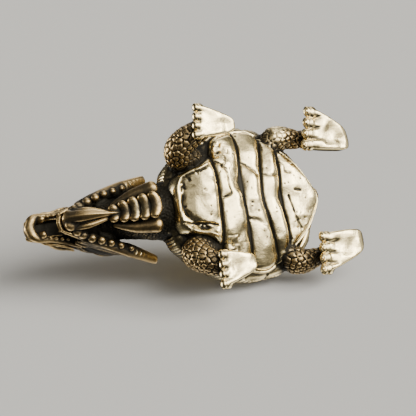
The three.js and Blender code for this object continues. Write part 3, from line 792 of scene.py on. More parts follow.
def model_jaws(clay):
    """The open mouth with its lips, fangs and teeth, and the lumps and cords under the jaw."""
    mouth_wedge(clay, 3.3, 1.1, 10.4, -1.75, 0.9)
    mouth_wedge(clay, 1.15, 2.2, 7.6, -1.1, 2.2)
    for side in (1, -1):
        lip = path_on_head(
            side, (0, 8.2, 1.6), (1.15, 7.85, 1.35), (1.75, 6.9, 1.15), (1.9, 4.4, 1.1), (2.9, 0.2, 1.0)
        )
        clay.strand(lip, (0.8, 0.76, 0.5, 0.36, 0.3), blend=0.2, kind=FACE, steps=5)
        under = path_on_head(side, (0, 5.2, -1.95), (1.0, 4.8, -1.85), (1.6, 3.2, -1.7), (2.3, 1.0, -0.9))
        clay.strand(under, (0.36, 0.36, 0.3, 0.25), blend=0.12, kind=FACE, steps=4)
        fang = path_on_head(side, (1.17, 6.95, 1.7), (1.17, 6.8, 1.1), (1.17, 6.65, 0.35))
        clay.strand(fang, (0.56, 0.62, 0.5), blend=0.08, kind=FACE)
        low_fang = path_on_head(side, (1.0, 4.75, -1.9), (1.05, 4.85, -1.1))
        clay.strand(low_fang, (0.36, 0.16), blend=0.08, kind=FACE)
        for k in range(4):
            low_tooth = on_head(side * (1.45 + 0.15 * k), 3.9 - 0.8 * k, -1.4 + 0.1 * k)
            clay.ball(on_head(side * (1.6 + 0.12 * k), 5.4 - 1.0 * k, 0.7), (0.24, 0.36, 0.4), blend=0.06)
            clay.ball(low_tooth, (0.2, 0.28, 0.32), blend=0.06)
        clay.ball(on_head(side * 0.78, 4.1, -3.4), (0.82, 0.95, 0.7), blend=0.08)
        clay.ball(on_head(side * 1.6, 3.0, -3.1), (0.75, 0.7, 0.7), blend=0.08)
        clay.ball(on_head(side * 2.15, 1.9, -2.9), (0.6, 0.85, 0.62), blend=0.06)
        cord = path_on_head(side, (1.3, 4.9, -2.2), (2.0, 3.3, -2.4), (2.6, 1.4, -2.0), (3.0, 0.2, -0.8))
        clay.strand(cord, (0.22, 0.28, 0.26, 0.2), blend=0.06, kind=FACE, steps=4)


def model_nose(clay):
    """The nostrils with their curls, and a ridge with folds along the snout."""
    for side in (1, -1):
        clay.ball(on_head(side * 0.95, 7.3, 3.0), (0.66, 0.75, 0.6), blend=0.15)
        curl = path_on_head(side, (1.35, 6.3, 2.4), (1.55, 7.2, 2.75), (1.2, 7.9, 3.15), (0.7, 7.7, 3.4))
        clay.strand(curl, (0.14, 0.2, 0.2, 0.12), blend=0.08, kind=FACE)
        clay.ball(on_head(side * 1.05, 7.95, 3.0), (0.24, 0.4, 0.22), blend=0.06, carve=True)
    ridge = path_on_head(1, (0, 1.8, 3.75), (0, 4.2, 3.25), (0, 6.9, 3.2))
    clay.strand(ridge, (0.5, 0.38, 0.5), blend=0.3, kind=FACE)
    for k in range(4):
        fold = path_on_head(1, (-1.3, 6.7 - k, 2.75), (0, 6.3 - k, 3.55), (1.3, 6.7 - k, 2.75))
        clay.strand(fold, 0.13, blend=0.1, kind=FACE, carve=True)


def model_eye(clay, side):
    """A round eye with a small pupil, in a raised lid."""
    centre = on_head(side * 1.95, 2.9, 2.8)
    outward = np.array((side * 0.86, -0.36, 0.36))
    clay.ball(centre, 0.62, blend=0.08)
    clay.ball(centre + outward * 0.62, 0.17, blend=0.05, carve=True)
    across = np.cross(outward, (0, 0, 1))
    over = np.cross(across, outward)
    lid = [
        centre + outward * 0.16 + 0.72 * (math.cos(t) * across * 1.25 + math.sin(t) * over)
        for t in np.linspace(0, 2 * math.pi, 13)
    ]
    clay.strand(lid, 0.15, blend=0.08, kind=FACE, steps=2)


def model_brow(clay, side):
    """The arched brow with its web and three flames, and the ear behind it."""
    arch = path_on_head(side, (0.8, 4.7, 3.0), (1.9, 3.4, 3.75), (2.35, 1.8, 3.9), (2.7, 0.2, 3.6))
    clay.strand(arch, (0.3, 0.5, 0.5, 0.25), blend=0.12, kind=FACE, steps=4)
    web = path_on_head(side, (1.5, 3.3, 3.25), (1.8, 1.9, 3.5), (2.1, 0.3, 3.3))
    clay.strand(web, (0.35, 0.55, 0.6), blend=0.15, kind=FACE, steps=4)
    for k in range(3):
        root, middle = (1.9 + 0.2 * k, 2.9 - k, 3.8), (2.2 + 0.2 * k, 2.2 - k, 4.3)
        flame = path_on_head(side, root, middle, (2.5 + 0.2 * k, 1.2 - k, 4.35))
        clay.strand(flame, (0.3, 0.25, 0.1), blend=0.06)
    ear = path_on_head(side, (2.3, 0.2, 2.2), (3.1, -1.2, 2.6), (3.7, -2.8, 2.5))
    clay.strand(ear, (0.45, 0.7, 0.12), (0.25, 0.3, 0.1), side=(0, 0, 1), blend=0.1, kind=FACE, steps=4)
    clay.strand([place + (side * 0.3, 0, 0) for place in ear[:2]], 0.14, blend=0.08, carve=True)


def model_horn(clay, side):
    """A long horn, ringed over its first half, that sweeps back and turns up at its tip."""
    path = path_on_head(
        side, (1.5, 0.5, 3.7), (2.4, -2.4, 3.5), (3.25, -5.5, 2.3), (3.9, -8.6, 1.8), (4.15, -10.7, 2.7)
    )
    points = smooth(path, 12)
    share = np.linspace(0, 1, len(points))
    ripple = 0.06 * np.cos(share * 2 * math.pi * 13) * (1 - ramp(share, 0.45, 0.6))
    radius = np.interp(share, (0, 0.3, 0.6, 0.85, 1), (0.84, 0.82, 0.68, 0.5, 0.24)) + ripple
    clay.strand(points, radius, blend=0.12, kind=FACE, steps=1)


def model_beard(clay):
    """The beard: a broad blade that tapers back to the throat, with a smaller one on each side, and
    the whiskers along the upper lip."""
    blade = path_on_head(
        1, (0.3, 4.9, -3.2), (0.35, 4.3, -3.9), (0.25, 2.9, -5.3), (0.1, 0.7, -6.5), (0, -2.1, -7.2)
    )
    clay.strand(blade, (0.5, 0.9, 0.85, 0.5, 0.16), (0.4, 0.55, 0.5, 0.38, 0.15), blend=0.25, steps=6)
    ridge = [place - (0, 0, 0.3) for place in blade]
    clay.strand(ridge, (0.2, 0.4, 0.38, 0.22, 0.08), blend=0.15, steps=6)
    for side in (1, -1):
        short = path_on_head(
            side, (1.15, 3.6, -3.5), (1.15, 2.0, -4.8), (0.75, 0.2, -5.7), (0.35, -1.2, -6.2)
        )
        clay.strand(short, (0.42, 0.46, 0.32, 0.1), (0.35, 0.4, 0.3, 0.1), blend=0.05, steps=5)
        whisker = path_on_head(
            side, (1.5, 7.0, 1.9), (2.25, 5.8, 1.7), (2.4, 4.2, 1.75), (2.85, 2.6, 1.3), (3.2, 1.0, 1.6)
        )
        clay.strand(whisker, (0.2, 0.24, 0.22, 0.2, 0.1), blend=0.08, steps=4)


def model_mane(clay, side):
    """The side locks: a broad leaf below a row of beads, three flowing locks above it and small curls
    down the cheek."""
    path = path_on_head(side, (2.5, 1.5, -2.2), (3.6, -1.3, -3.2), (4.7, -5.5, -3.1), (6.1, -10.4, -2.3))
    clay.strand(path, (0.5, 0.75, 1.05, 0.72), (0.4, 0.5, 0.6, 0.4), blend=0.1, steps=6)
    curve = smooth(path, 20)  # 60 steps
    for k in range(5):
        bead = curve[int(60 * (0.14 + 0.135 * k))] - (side * 0.15, 0, 0.62)
        clay.ball(bead, 0.7 - 0.05 * k, blend=0.03, kind=HAIR)
    for k in range(5):
        middle = curve[int(60 * (0.74 + 0.05 * k))] - (0, 0, 0.55)
        notch = [middle + (-side * 0.75, 0.35, 0), middle + (side * 0.75, -0.35, 0)]
        clay.strand(notch, 0.13, blend=0.06, carve=True)
    lock(clay, [place + (side * 0.35, 0, 0.5) for place in path], 0.8, 0.38)
    for k in range(3):
        root = on_head(side * (2.1 - 0.1 * k), -0.9 - 0.4 * k, 1.3 - 1.5 * k)
        tip = on_head(side * (4.1 + 0.35 * k), -7.0 - 0.9 * k, 0.7 - 1.15 * k)
        middle = (root + tip) / 2 + (side * 0.5, 0, 0.2)
        wide, deep = (1.3, 1.0, 0.2), (0.9, 0.7, 0.15)
        clay.strand([root, middle, tip], wide, deep, side=(0, 0, 1), blend=0.2, steps=5)
        lock(clay, [root + (side * 0.5, 0, 0), middle + (side * 0.4, 0, 0), tip], 0.95, 0.4)
    roots = ((2.45, 1.3, -0.7), (2.5, 1.2, 0.2), (2.45, 1.3, -1.6), (2.3, 0.2, -2.5), (2.2, -1.0, -3.2))
    for across, ahead, up in roots:
        middle, tip = (across + 0.5, ahead - 1.1, up - 0.35), (across + 0.55, ahead - 2.4, up + 0.1)
        curl = path_on_head(side, (across, ahead, up), middle, tip)
        clay.strand(curl, (0.38, 0.46, 0.16), blend=0.06, steps=4)
        clay.ball(curl[2] + (0, 0, 0.2), 0.3, blend=0.05, kind=HAIR)


def model_nape(clay):
    """The crest: locks that stand on the nape and lie back towards the shell."""
    for k in range(6):
        share = k / 5
        root = on_head(0, -1.2 - 6.0 * share, 2.6 - 3.9 * share)
        tip = root + (0, 3.0, 1.1 - 0.5 * share)
        middle = (root + tip) / 2 + (0, 0, 0.5)
        crest = [root - (0, 0, 0.4), middle, tip]
        clay.strand(crest, (0.6, 0.5, 0.1), (1.0, 0.7, 0.1), blend=0.12, steps=4)
        for side in (1, -1):
            offsets = ((side * 0.7, 0.2, -0.5), (side * 0.75, 0.1, -0.5), (side * 0.5, -0.2, -0.7))
            beside = [place + offset for place, offset in zip((root, middle, tip), offsets)]
            clay.strand(beside, (0.42, 0.36, 0.1), blend=0.06, steps=4)


def model_head(clay):
    model_skull(clay)
    model_jaws(clay)
    model_nose(clay)
    model_beard(clay)
    model_nape(clay)
    for side in (1, -1):
        model_mane(clay, side)
        model_eye(clay, side)
        model_brow(clay, side)
        model_horn(clay, side)


def model_figure(sizes):
    """The whole figure in clay, and how far back of the frame's origin the shell's middle is."""
    middle = CAD_LOW.y / MM + NOSE_REACH
    low, high = (np.array(corner) / MM - (0, middle, 0) for corner in (CAD_LOW, CAD_HIGH))
    clay = Clay(low, high, sizes.grain / MM)
    model_trunk(clay)
    model_carapace(clay, sizes)
    model_rim(clay)
    for foot in FEET:
        model_leg(clay, foot)
    model_tail(clay)
    model_neck(clay)
    model_plastron(clay, sizes)
    for foot in FEET:
        model_foot(clay, foot)
    model_throat(clay)
    model_head(clay)
    clay.distance = np.maximum(clay.distance, -clay.axes[2])
    return clay, middle


# Mesh


def new_object(name, data):
    made = bpy.data.objects.new(name, data)
    bpy.context.scene.collection.objects.link(made)
    return made


def mesh_from(places, quads):
    """A mesh of quads, in metres."""
    mesh = bpy.data.meshes.new("figure")
    mesh.vertices.add(len(places))
    mesh.vertices.foreach_set("co", places.astype(np.float32).ravel())
    mesh.loops.add(quads.size)
    mesh.loops.foreach_set("vertex_index", quads.astype(np.int32).ravel())
    mesh.polygons.add(len(quads))
    mesh.polygons.foreach_set("loop_start", np.arange(0, quads.size, 4, dtype=np.int32))
    mesh.polygons.foreach_set("loop_total", np.full(len(quads), 4, dtype=np.int32))
    mesh.update(calc_edges=True)
    return mesh


def set_values(mesh, name, values):
    layer = mesh.attributes.new(name, "FLOAT", "POINT")
    layer.data.foreach_set("value", np.asarray(values, np.float32))


def columns(items, key, width, kind=np.float32):
    """What a list of Blender's items holds under a key, as an array of so many columns."""
    out = np.empty((len(items), width), kind)
    items.foreach_get(key, out.ravel())
    return out


def smoothed(values, edges, rounds):
    """Each vertex's value or row drawn towards the mean of its neighbours, so many times."""
    ends = np.concatenate([edges[:, 0], edges[:, 1]])
    others = np.concatenate([edges[:, 1], edges[:, 0]])
    count = len(values)
    neighbours = np.maximum(np.bincount(ends, minlength=count), 1)
    for _ in range(rounds):
        mean = [np.bincount(ends, part[others], count) / neighbours for part in np.atleast_2d(values.T)]
        values = 0.4 * values + 0.6 * np.stack(mean, -1).reshape(values.shape)
    return values


def applied(carrier):
    """The carrier's mesh with its modifiers applied, as a mesh of its own. The carrier goes."""
    graph = bpy.context.evaluated_depsgraph_get()
    made = bpy.data.meshes.new_from_object(carrier.evaluated_get(graph), depsgraph=graph)
    bpy.data.objects.remove(carrier)
    return made


def add_node(tree, kind, settings=None, **sockets):
    """Adds a node, sets its settings and then its sockets, by value or by link. A socket is named by
    its words with _ for a space, or by its number after an n."""
    node = tree.nodes.new(kind)
    for key, value in (settings or {}).items():
        setattr(node, key, value)
    for key, value in sockets.items():
        numbered = key[0] == "n" and key[1:].isdigit()
        socket = node.inputs[int(key[1:]) if numbered else key.replace("_", " ")]
        source = getattr(value, "socket", value)
        if isinstance(source, bpy.types.NodeSocket):
            tree.links.new(source, socket)
        else:
            socket.default_value = value
    return node


CRUMB_VERTICES = 5000  # a loose part with fewer is dropped


def skin_scale_tree(material):
    """Scales over the skin: each point of the surface sinks near the border between its two nearest
    scales. Whatever is loose and small is dropped first."""
    tree = bpy.data.node_groups.new("Skin scales", "GeometryNodeTree")
    face = tree.interface
    face.new_socket("Geometry", in_out="INPUT", socket_type="NodeSocketGeometry")
    for name, value in (("Scale Width", 0.0009), ("Pebble Width", 0.0005), ("Scale Height", 0.0002)):
        face.new_socket(name, in_out="INPUT", socket_type="NodeSocketFloat").default_value = value
    face.new_socket("Seed", in_out="INPUT", socket_type="NodeSocketInt").default_value = 1
    face.new_socket("Geometry", in_out="OUTPUT", socket_type="NodeSocketGeometry")

    def node(kind, settings=None, **sockets):
        return add_node(tree, kind, settings, **sockets).outputs

    def maths(operation, first, second):
        return node("ShaderNodeMath", {"operation": operation}, n0=first, n1=second)[0]

    def vectors(operation, first, second, output="Vector"):
        return node("ShaderNodeVectorMath", {"operation": operation}, n0=first, n1=second)[output]

    def scaled(vector, scale):
        return node("ShaderNodeVectorMath", {"operation": "SCALE"}, Vector=vector, Scale=scale)[0]

    given = node("NodeGroupInput")
    place = node("GeometryNodeInputPosition")[0]
    island = node("GeometryNodeInputMeshIsland")[0]
    size = node("GeometryNodeAccumulateField", {"data_type": "INT"}, Value=1, Group_ID=island)["Total"]
    smaller = {"data_type": "INT", "operation": "LESS_THAN"}
    crumb = node("FunctionNodeCompare", smaller, n2=size, n3=CRUMB_VERTICES)[0]
    whole = node("GeometryNodeDeleteGeometry", Geometry=given["Geometry"], Selection=crumb)[0]

    def nearest_spot(spots, **options):
        return node("GeometryNodeProximity", {"target_element": "POINTS"}, Geometry=spots, **options)

    def sinking(mask_name, width):
        """How deep each point sinks, from 0 on a scale to 1 between scales, where the mask is set."""
        mask = node("GeometryNodeInputNamedAttribute", {"data_type": "FLOAT"}, Name=mask_name)[0]
        spots = node(
            "GeometryNodeDistributePointsOnFaces",
            {"distribute_method": "POISSON"},
            Mesh=whole,
            Distance_Min=maths("MULTIPLY", width, 0.82),
            Density_Max=6e7,  # more than fit, so the least distance decides
            Density_Factor=maths("GREATER_THAN", mask, 0.25),
            Seed=given["Seed"],
        )["Points"]
        nearest = nearest_spot(spots)
        first = nearest["Position"]
        beyond = vectors("ADD", place, vectors("SUBTRACT", place, first))
        second = nearest_spot(spots, Sample_Position=beyond)["Position"]
        between = vectors("SUBTRACT", second, first)
        apart = vectors("LENGTH", between, (0, 0, 0), "Value")
        middle = scaled(vectors("ADD", first, second), 0.5)
        reach = vectors("DOT_PRODUCT", vectors("SUBTRACT", middle, place), between, "Value")
        edge = maths("DIVIDE", reach, maths("MAXIMUM", apart, 1e-9))
        alone = maths("MULTIPLY", maths("LESS_THAN", apart, 1e-6), width)
        share = maths("DIVIDE", maths("ADD", edge, alone), maths("MULTIPLY", width, 0.15))
        flat = node("ShaderNodeMapRange", {"interpolation_type": "SMOOTHSTEP"}, Value=share)[0]
        dome = maths("DIVIDE", nearest["Distance"], width)
        bend = maths("MULTIPLY", maths("MULTIPLY", dome, dome), 0.7)
        sunk = maths("ADD", maths("SUBTRACT", 1.0, flat), bend)
        return maths("MULTIPLY", sunk, mask)

    scales = sinking("scaly", given["Scale Width"])
    pebbles = maths("MULTIPLY", sinking("pebbly", given["Pebble Width"]), 0.8)
    depth = maths("MULTIPLY", maths("ADD", scales, pebbles), given["Scale Height"])
    offset = scaled(node("GeometryNodeInputNormal")[0], maths("MULTIPLY", depth, -1.0))
    raised = node("GeometryNodeSetPosition", Geometry=whole, Offset=offset)[0]
    real = node("GeometryNodeRealizeInstances", Geometry=raised)[0]
    finished = node("GeometryNodeSetMaterial", Geometry=real, Material=material)[0]
    node("NodeGroupOutput", Geometry=finished)
    return tree


def scaled_skin(mesh, sizes, material):
    """The mesh with its scales raised by the Geometry Nodes tree."""
    carrier = new_object("figure_in_clay", mesh)
    tree = skin_scale_tree(material)
    modifier = carrier.modifiers.new("Skin scales", "NODES")
    modifier.node_group = tree
    wanted = {
        "Scale Width": sizes.scale_width,
        "Pebble Width": sizes.pebble_width,
        "Scale Height": sizes.scale_height,
        "Seed": sizes.scale_seed,
    }
    for item in tree.interface.items_tree:
        if item.in_out == "INPUT" and item.name in wanted:
            modifier[item.identifier] = wanted[item.name]
    return applied(carrier)


def note_kinds(mesh, places, kinds):
    """Keeps on each vertex how scaly, pebbly, worn bright and stained the surface is there; the wear value
    also holds painted shade.
    """
    edges = columns(mesh.edges, "vertices", 2, np.int32)
    knee, throat = (
        bump(np.linalg.norm(places - place, axis=1), reach) for place, reach in (RUBBED_KNEE, RUBBED_THROAT)
    )
    for name, kind in (("scaly", SKIN), ("pebbly", PEBBLE)):
        set_values(mesh, name, smoothed((kinds == kind).astype(float), edges, 2) * (1 - 0.8 * knee))
    wear_and_shade = np.choose(kinds, WEAR_AND_SHADE)
    # Painted shade: the skin of the right legs, which lie in shade, is set darker, as though less worn.
    wear_and_shade -= 0.3 * (kinds == SKIN) * ramp(-places[:, 0], 5, 11)  # the right legs are darker
    set_values(mesh, "wear_and_shade", smoothed(wear_and_shade, edges, 3) + 0.7 * knee + throat)
    set_values(mesh, "stain", smoothed((kinds == GAP).astype(float), edges, 4))


def note_hollows(mesh, clay, middle):
    """Keeps on each vertex how hollow the surface is there, from finely to broadly."""
    places = columns(mesh.vertices, "co", 3)
    normals = columns(mesh.vertices, "normal", 3)
    edges = columns(mesh.edges, "vertices", 2, np.int32)
    near = smoothed(places, edges, 3)
    wide = smoothed(near, edges, 22)
    for name, drawn in (("crease", near), ("dip", wide)):
        set_values(mesh, name, ((drawn - places) * normals).sum(1) / (clay.grain * MM))
    for name, reach in (("hollow", 1.0), ("cave", 2.6)):
        set_values(mesh, name, clay.sample(clay.fullness(reach), places / MM - (0, middle, 0)))


def thinned(mesh, most):
    """The mesh with at most so many triangles, kept where the surface bends most."""
    carrier = new_object("figure_to_thin", mesh)
    triangles = len(mesh.loops) - 2 * len(mesh.polygons)
    carrier.modifiers.new("Thin", "DECIMATE").ratio = min(1, most / triangles)
    return applied(carrier)


# Brass


class Number:
    """A value in a shader, so that its maths is written as Python's."""

    def __init__(self, tree, socket):
        self.tree, self.socket = tree, socket

    def maths(self, operation, *values):
        sockets = {f"n{k}": value for k, value in enumerate(values)}
        node = add_node(self.tree, "ShaderNodeMath", {"operation": operation}, **sockets)
        return Number(self.tree, node.outputs[0])

    def __add__(self, other):
        return self.maths("ADD", self, other)

    def __mul__(self, other):
        return self.maths("MULTIPLY", self, other)

    def __sub__(self, other):
        return self.maths("SUBTRACT", self, other)

    def __rsub__(self, other):
        return self.maths("SUBTRACT", other, self)

    __radd__, __rmul__ = __add__, __mul__

    def rise(self, low, high):
        """0 below low, 1 above high and a smooth rise between."""
        node = add_node(
            self.tree, "ShaderNodeMapRange", {"interpolation_type": "SMOOTHSTEP"},
            Value=self, From_Min=low, From_Max=high,
        )
        return Number(self.tree, node.outputs[0])


def brass_material(looks):
    """Brass that is polished where it is worn bright, golden where it isn't, and brown to black in hollows.
    Where painted shade lowers the wear value, it turns golden and brown too.
    """
    material = bpy.data.materials.new("rubbed_brass")
    material.use_nodes = True
    tree = material.node_tree
    tree.nodes.clear()
    place = add_node(tree, "ShaderNodeTexCoord").outputs["Object"]

    def value(name):
        return Number(tree, add_node(tree, "ShaderNodeAttribute", {"attribute_name": name}).outputs["Fac"])

    def noise(size, detail=3.0, roughness=0.55, stretch=(1, 1, 1)):
        mapped = add_node(tree, "ShaderNodeMapping", Vector=place, Scale=stretch).outputs[0]
        settings = {"Scale": 1 / size, "Detail": detail, "Roughness": roughness}
        return Number(tree, add_node(tree, "ShaderNodeTexNoise", Vector=mapped, **settings).outputs["Fac"])

    def mixed(share, first, second):
        node = add_node(tree, "ShaderNodeMix", {"data_type": "RGBA"}, n0=share, n6=first, n7=second)
        return Number(tree, node.outputs[2])

    names = ("crease", "dip", "hollow", "cave", "wear_and_shade", "stain")
    crease, dip, hollow, cave, wear_and_shade, stain = (value(name) for name in names)
    blotch = noise(0.0035) - 0.5
    speck = noise(0.0005, 4.0, 0.65) - 0.5
    scratch = noise(0.0004, 2.0, 0.6, (1, 0.12, 1))
    # Patina lies in creases, dips and hollows, more in stains and less where the brass is worn bright. The
    # wear value also carries painted shade, which darkens the head, the toes and the right legs.
    wear = blotch * 0.9 + speck * 0.7
    recess = crease * 1.9 + dip * 0.22 + (hollow - 0.5) * 2.0 + (cave - 0.4) * 1.8 + (0.6 - wear_and_shade) * 0.75
    depth = recess + stain * 0.6 + wear
    brown = depth.rise(-0.4, 0.2)
    black = depth.rise(0.05, 0.6)
    gold = (0.75 - wear_and_shade + blotch * 0.8).rise(0.0, 0.7)
    colour = mixed(gold, looks.polished, looks.golden)
    colour = mixed(brown * 0.85, colour, looks.brown)
    colour = mixed(black, colour, looks.patina)
    roughness = 0.15 + gold * 0.14 + brown * 0.1 + black * 0.22
    roughness = roughness + (scratch - 0.5) * 0.14 + (speck + 0.5) * 0.08
    relief = noise(0.00035, 4.0, 0.6) * 0.6 + noise(0.0011, 3.0) * 0.8 + scratch * 0.25
    raised = add_node(tree, "ShaderNodeBump", Height=relief, Distance=0.00006, Strength=0.7)
    shader = add_node(
        tree,
        "ShaderNodeBsdfPrincipled",
        Base_Color=colour,
        Roughness=roughness,
        Metallic=1.0 - black * 0.5,
        Specular_IOR_Level=0.25,
        Normal=raised.outputs[0],
    )
    add_node(tree, "ShaderNodeOutputMaterial", Surface=shader.outputs[0])
    return material


# Studio

# The photograph's view: its right and down, and the way into it. The figure lies on its right side
# there, so the view comes from below and in front of it.
VIEW_RIGHT = Vector((-0.1598, 0.8197, -0.55))
VIEW_DOWN = Vector((-0.9684, -0.0222, 0.2483))
VIEW_AHEAD = Vector((0.1914, 0.5723, 0.7974))
VIEW_TARGET = Vector((-0.53, 1.05, 6.55)) * MM  # what stands in the middle of the picture
VIEW_WIDTH = 61.63 * MM  # width of the picture at the figure
VIEW_DISTANCE = 400 * MM
SENSOR = 36
TABLE_TILT = math.radians(20)  # how far the view looks down on the table
TABLE_HALF = 0.25  # half width of the table, in metres
TABLE_LEVELS = (-0.12, 0.9)  # levels between which the table rises in the figure's frame, in metres
TABLE_STEP = 0.4 * MM
FLOOR_HALF = 4.0

# Soft lights: the way to each, how sharply it falls off, and its strength
SOFT_LIGHTS = (
    ((0.32, 0.62, -0.74), 60, 12.0),
    ((0.25, 0.45, -0.85), 14, 4.5),
    ((0.25, 0.0, -0.97), 18, 6.5),
    ((0.22, -0.4, -0.88), 24, 0.75),
    ((0.2, -0.8, -0.52), 40, 1.0),
    ((0.15, 0.97, -0.1), 30, 0.9),
    ((0.9, 0.1, -0.3), 24, 2.6),
    ((0.8, 0.45, 0.4), 24, 2.5),
    ((0.2, -0.65, 0.73), 40, 15.0),
    ((-0.75, 0.0, 0.66), 16, 3.0),
    ((-0.6, 0.78, 0.1), 14, 2.2),
)


def add_camera():
    """The camera, at the photograph's viewing angle."""
    data = bpy.data.cameras.new("camera")
    data.sensor_width = SENSOR
    data.lens = SENSOR * VIEW_DISTANCE / VIEW_WIDTH
    data.clip_start, data.clip_end = 0.01, 20
    camera = new_object("camera", data)
    back = -VIEW_AHEAD.normalized()
    right = VIEW_RIGHT.normalized()
    turn = Matrix((right, back.cross(right), back)).transposed().to_4x4()
    camera.matrix_world = Matrix.Translation(VIEW_TARGET + back * VIEW_DISTANCE) @ turn
    bpy.context.scene.camera = camera


def floor_material(name, colour):
    """A matt floor that shows from its front only."""
    material = bpy.data.materials.new(name)
    material.use_nodes = True
    tree = material.node_tree
    tree.nodes.clear()
    behind = add_node(tree, "ShaderNodeNewGeometry").outputs["Backfacing"]
    matt = add_node(tree, "ShaderNodeBsdfDiffuse", Color=colour)
    clear = add_node(tree, "ShaderNodeBsdfTransparent")
    both = add_node(tree, "ShaderNodeMixShader", n0=behind, n1=matt.outputs[0], n2=clear.outputs[0])
    add_node(tree, "ShaderNodeOutputMaterial", Surface=both.outputs[0])
    return material


def add_floor(name, places, faces, material):
    """A floor that only the camera sees."""
    mesh = bpy.data.meshes.new(name)
    mesh.from_pydata([tuple(place) for place in places], [], faces)
    mesh.materials.append(material)
    floor = new_object(name, mesh)
    floor.visible_diffuse = floor.visible_glossy = floor.visible_transmission = False
    floor.visible_shadow = False
    return floor


def add_ground(material):
    """The floor on which the figure stands, seen from above."""
    corners = [(x * FLOOR_HALF, y * FLOOR_HALF, 0) for x, y in ((-1, -1), (1, -1), (1, 1), (-1, 1))]
    add_floor("floor_standing", corners, [(0, 1, 2, 3)], material)


def add_table(places, material):
    """The table on which the figure lies in the photograph. It is made of narrow level steps that
    face down, so it shows from below, where the photograph is taken, and not in the upright views."""
    up = -VIEW_DOWN * math.cos(TABLE_TILT) - VIEW_AHEAD * math.sin(TABLE_TILT)
    up = np.array(up.normalized())
    level = (places @ up).min()
    flat = math.hypot(up[0], up[1])
    along = np.cross(up, (0, 0, 1))
    along *= TABLE_HALF / np.linalg.norm(along)
    outward = -np.array((up[0], up[1], 0)) / flat
    vertices = []
    for height in np.arange(*TABLE_LEVELS, TABLE_STEP):
        edge = np.array((0, 0, height)) + outward * ((height * up[2] - level) / flat)
        beyond = edge + outward * TABLE_STEP * 1.5
        vertices += [edge - along, edge + along, beyond + along, beyond - along]
    faces = np.arange(len(vertices)).reshape(-1, 4).tolist()
    add_floor("floor_lying", vertices, faces, material)


def set_world(looks):
    """A pale room for the eye, and soft broad lights from a few ways for the brass."""
    world = bpy.data.worlds.new("studio")
    world.use_nodes = True
    tree = world.node_tree
    tree.nodes.clear()
    way = add_node(tree, "ShaderNodeTexCoord").outputs["Generated"]
    light = looks.room
    for towards, sharpness, strength in SOFT_LIGHTS:
        towards = Vector(towards).normalized()
        facing = add_node(tree, "ShaderNodeVectorMath", {"operation": "DOT_PRODUCT"}, n0=way, n1=towards)
        facing = Number(tree, facing.outputs["Value"])
        facing = facing.maths("MAXIMUM", facing, 0.0)
        light = facing.maths("POWER", facing, sharpness) * strength + light
    around = add_node(tree, "ShaderNodeBackground", Color=looks.lamp, Strength=light * looks.light)
    behind = add_node(tree, "ShaderNodeBackground", Color=looks.backdrop, Strength=1.0)
    seen = add_node(tree, "ShaderNodeLightPath").outputs["Is Camera Ray"]
    both = add_node(tree, "ShaderNodeMixShader", n0=seen, n1=around.outputs[0], n2=behind.outputs[0])
    add_node(tree, "ShaderNodeOutputWorld", Surface=both.outputs[0])
    bpy.context.scene.world = world


# Add-on


def length(name, description, default):
    return bpy.props.FloatProperty(
        name=name, description=description, default=default, min=0.0, precision=6,
        subtype="DISTANCE", unit="LENGTH",
    )


def colour(name, description, default):
    return bpy.props.FloatVectorProperty(
        name=name, description=description, default=(*default, 1.0), size=4, min=0.0, max=1.0,
        subtype="COLOR",
    )


def number(name, description, default, kind=bpy.props.FloatProperty):
    return kind(name=name, description=description, default=default, min=0)


class FigureSizes(bpy.types.PropertyGroup):
    grain: length("Grain", "Spacing of the grid on which the clay is modelled", 0.00013)
    plate_raise: length("Plate raise", "Height of the carapace's plates above their seams", 0.0004)
    ring_pitch: length("Ring pitch", "Distance between the growth rings of a plate", 0.00055)
    furrow_depth: length("Furrow depth", "Depth of the furrows across the plastron", 0.0009)
    scale_width: length("Scale width", "Width of the skin's scales", 0.00098)
    pebble_width: length("Pebble width", "Width of the neck's small scales", 0.0005)
    scale_height: length("Scale height", "Height of the skin's scales above their creases", 0.0002)
    scale_seed: number("Scale seed", "Layout of the skin's scales", 7, bpy.props.IntProperty)
    triangles: number("Triangles", "Most triangles in the mesh", 192000, bpy.props.IntProperty)


class FigureLooks(bpy.types.PropertyGroup):
    polished: colour("Polished", "Brass where it is rubbed bright", (0.95, 0.77, 0.4))
    golden: colour("Golden", "Brass where it is less rubbed", (0.56, 0.39, 0.17))
    brown: colour("Brown", "Thin patina", (0.075, 0.063, 0.044))
    patina: colour("Patina", "Thick patina in the recesses", (0.021, 0.018, 0.011))
    floor: colour("Floor", "The plain floor", (0.8, 0.79, 0.77))
    table: colour("Table", "The plain table under the lying figure", (0.5, 0.49, 0.465))
    backdrop: colour("Backdrop", "The plain backdrop", (0.74, 0.725, 0.695))
    lamp: colour("Lamp", "Colour of the soft lights", (1.0, 0.985, 0.95))
    room: number("Room", "Light from all around", 0.04)
    light: number("Light", "Strength of the soft lights", 1.0)


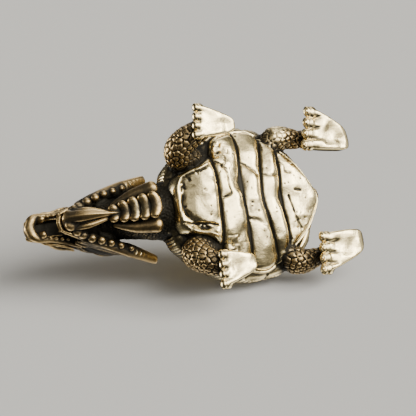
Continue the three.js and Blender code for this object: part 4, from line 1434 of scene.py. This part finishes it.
class FIGURE_OT_cast(bpy.types.Operator):
    """Model the dragon turtle in clay, raise its scales and cast it in brass"""

    bl_idname = "figure.cast"
    bl_label = "Cast the dragon turtle"

    def execute(self, context):
        sizes, looks = context.scene.figure_sizes, context.scene.figure_looks
        clay, middle = model_figure(sizes)
        places, quads, kinds = clay.skin()
        mesh = mesh_from((places + (0, middle, 0)) * MM, quads)
        note_kinds(mesh, places, kinds)
        mesh = scaled_skin(mesh, sizes, brass_material(looks))
        note_hollows(mesh, clay, middle)
        mesh = thinned(mesh, sizes.triangles)
        mesh.polygons.foreach_set("use_smooth", np.ones(len(mesh.polygons), bool))
        figure = new_object("dragon_turtle_casting", mesh)
        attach(figure, "root")
        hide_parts(NODE)
        return {"FINISHED"}


class FIGURE_OT_stage(bpy.types.Operator):
    """Set the figure in a plain studio: floors, soft lamps and the camera"""

    bl_idname = "figure.stage"
    bl_label = "Set the studio"

    def execute(self, context):
        looks = context.scene.figure_looks
        figure = bpy.data.objects["dragon_turtle_casting"]
        places = columns(figure.data.vertices, "co", 3).astype(float)
        add_ground(floor_material("pale_floor", looks.floor))
        add_table(places, floor_material("pale_table", looks.table))
        set_world(looks)
        add_camera()
        return {"FINISHED"}


class FIGURE_PT_panel(bpy.types.Panel):
    """Sizes, colours and steps of the dragon turtle"""

    bl_idname = "FIGURE_PT_panel"
    bl_label = "Dragon Turtle"
    bl_space_type = "VIEW_3D"
    bl_region_type = "UI"
    bl_category = "Dragon Turtle"

    def draw(self, context):
        for group in (context.scene.figure_sizes, context.scene.figure_looks):
            box = self.layout.box()
            for key in group.__annotations__:
                box.prop(group, key)
        for step in (FIGURE_OT_cast, FIGURE_OT_stage):
            self.layout.operator(step.bl_idname)


CLASSES = (FigureSizes, FigureLooks, FIGURE_OT_cast, FIGURE_OT_stage, FIGURE_PT_panel)


def register():
    for each in CLASSES:
        bpy.utils.register_class(each)
    bpy.types.Scene.figure_sizes = bpy.props.PointerProperty(type=FigureSizes)
    bpy.types.Scene.figure_looks = bpy.props.PointerProperty(type=FigureLooks)


def unregister():
    del bpy.types.Scene.figure_looks
    del bpy.types.Scene.figure_sizes
    for each in reversed(CLASSES):
        bpy.utils.unregister_class(each)


def main():
    register()
    bpy.ops.figure.cast()
    bpy.ops.figure.stage()


if __name__ == "__main__":
    main()
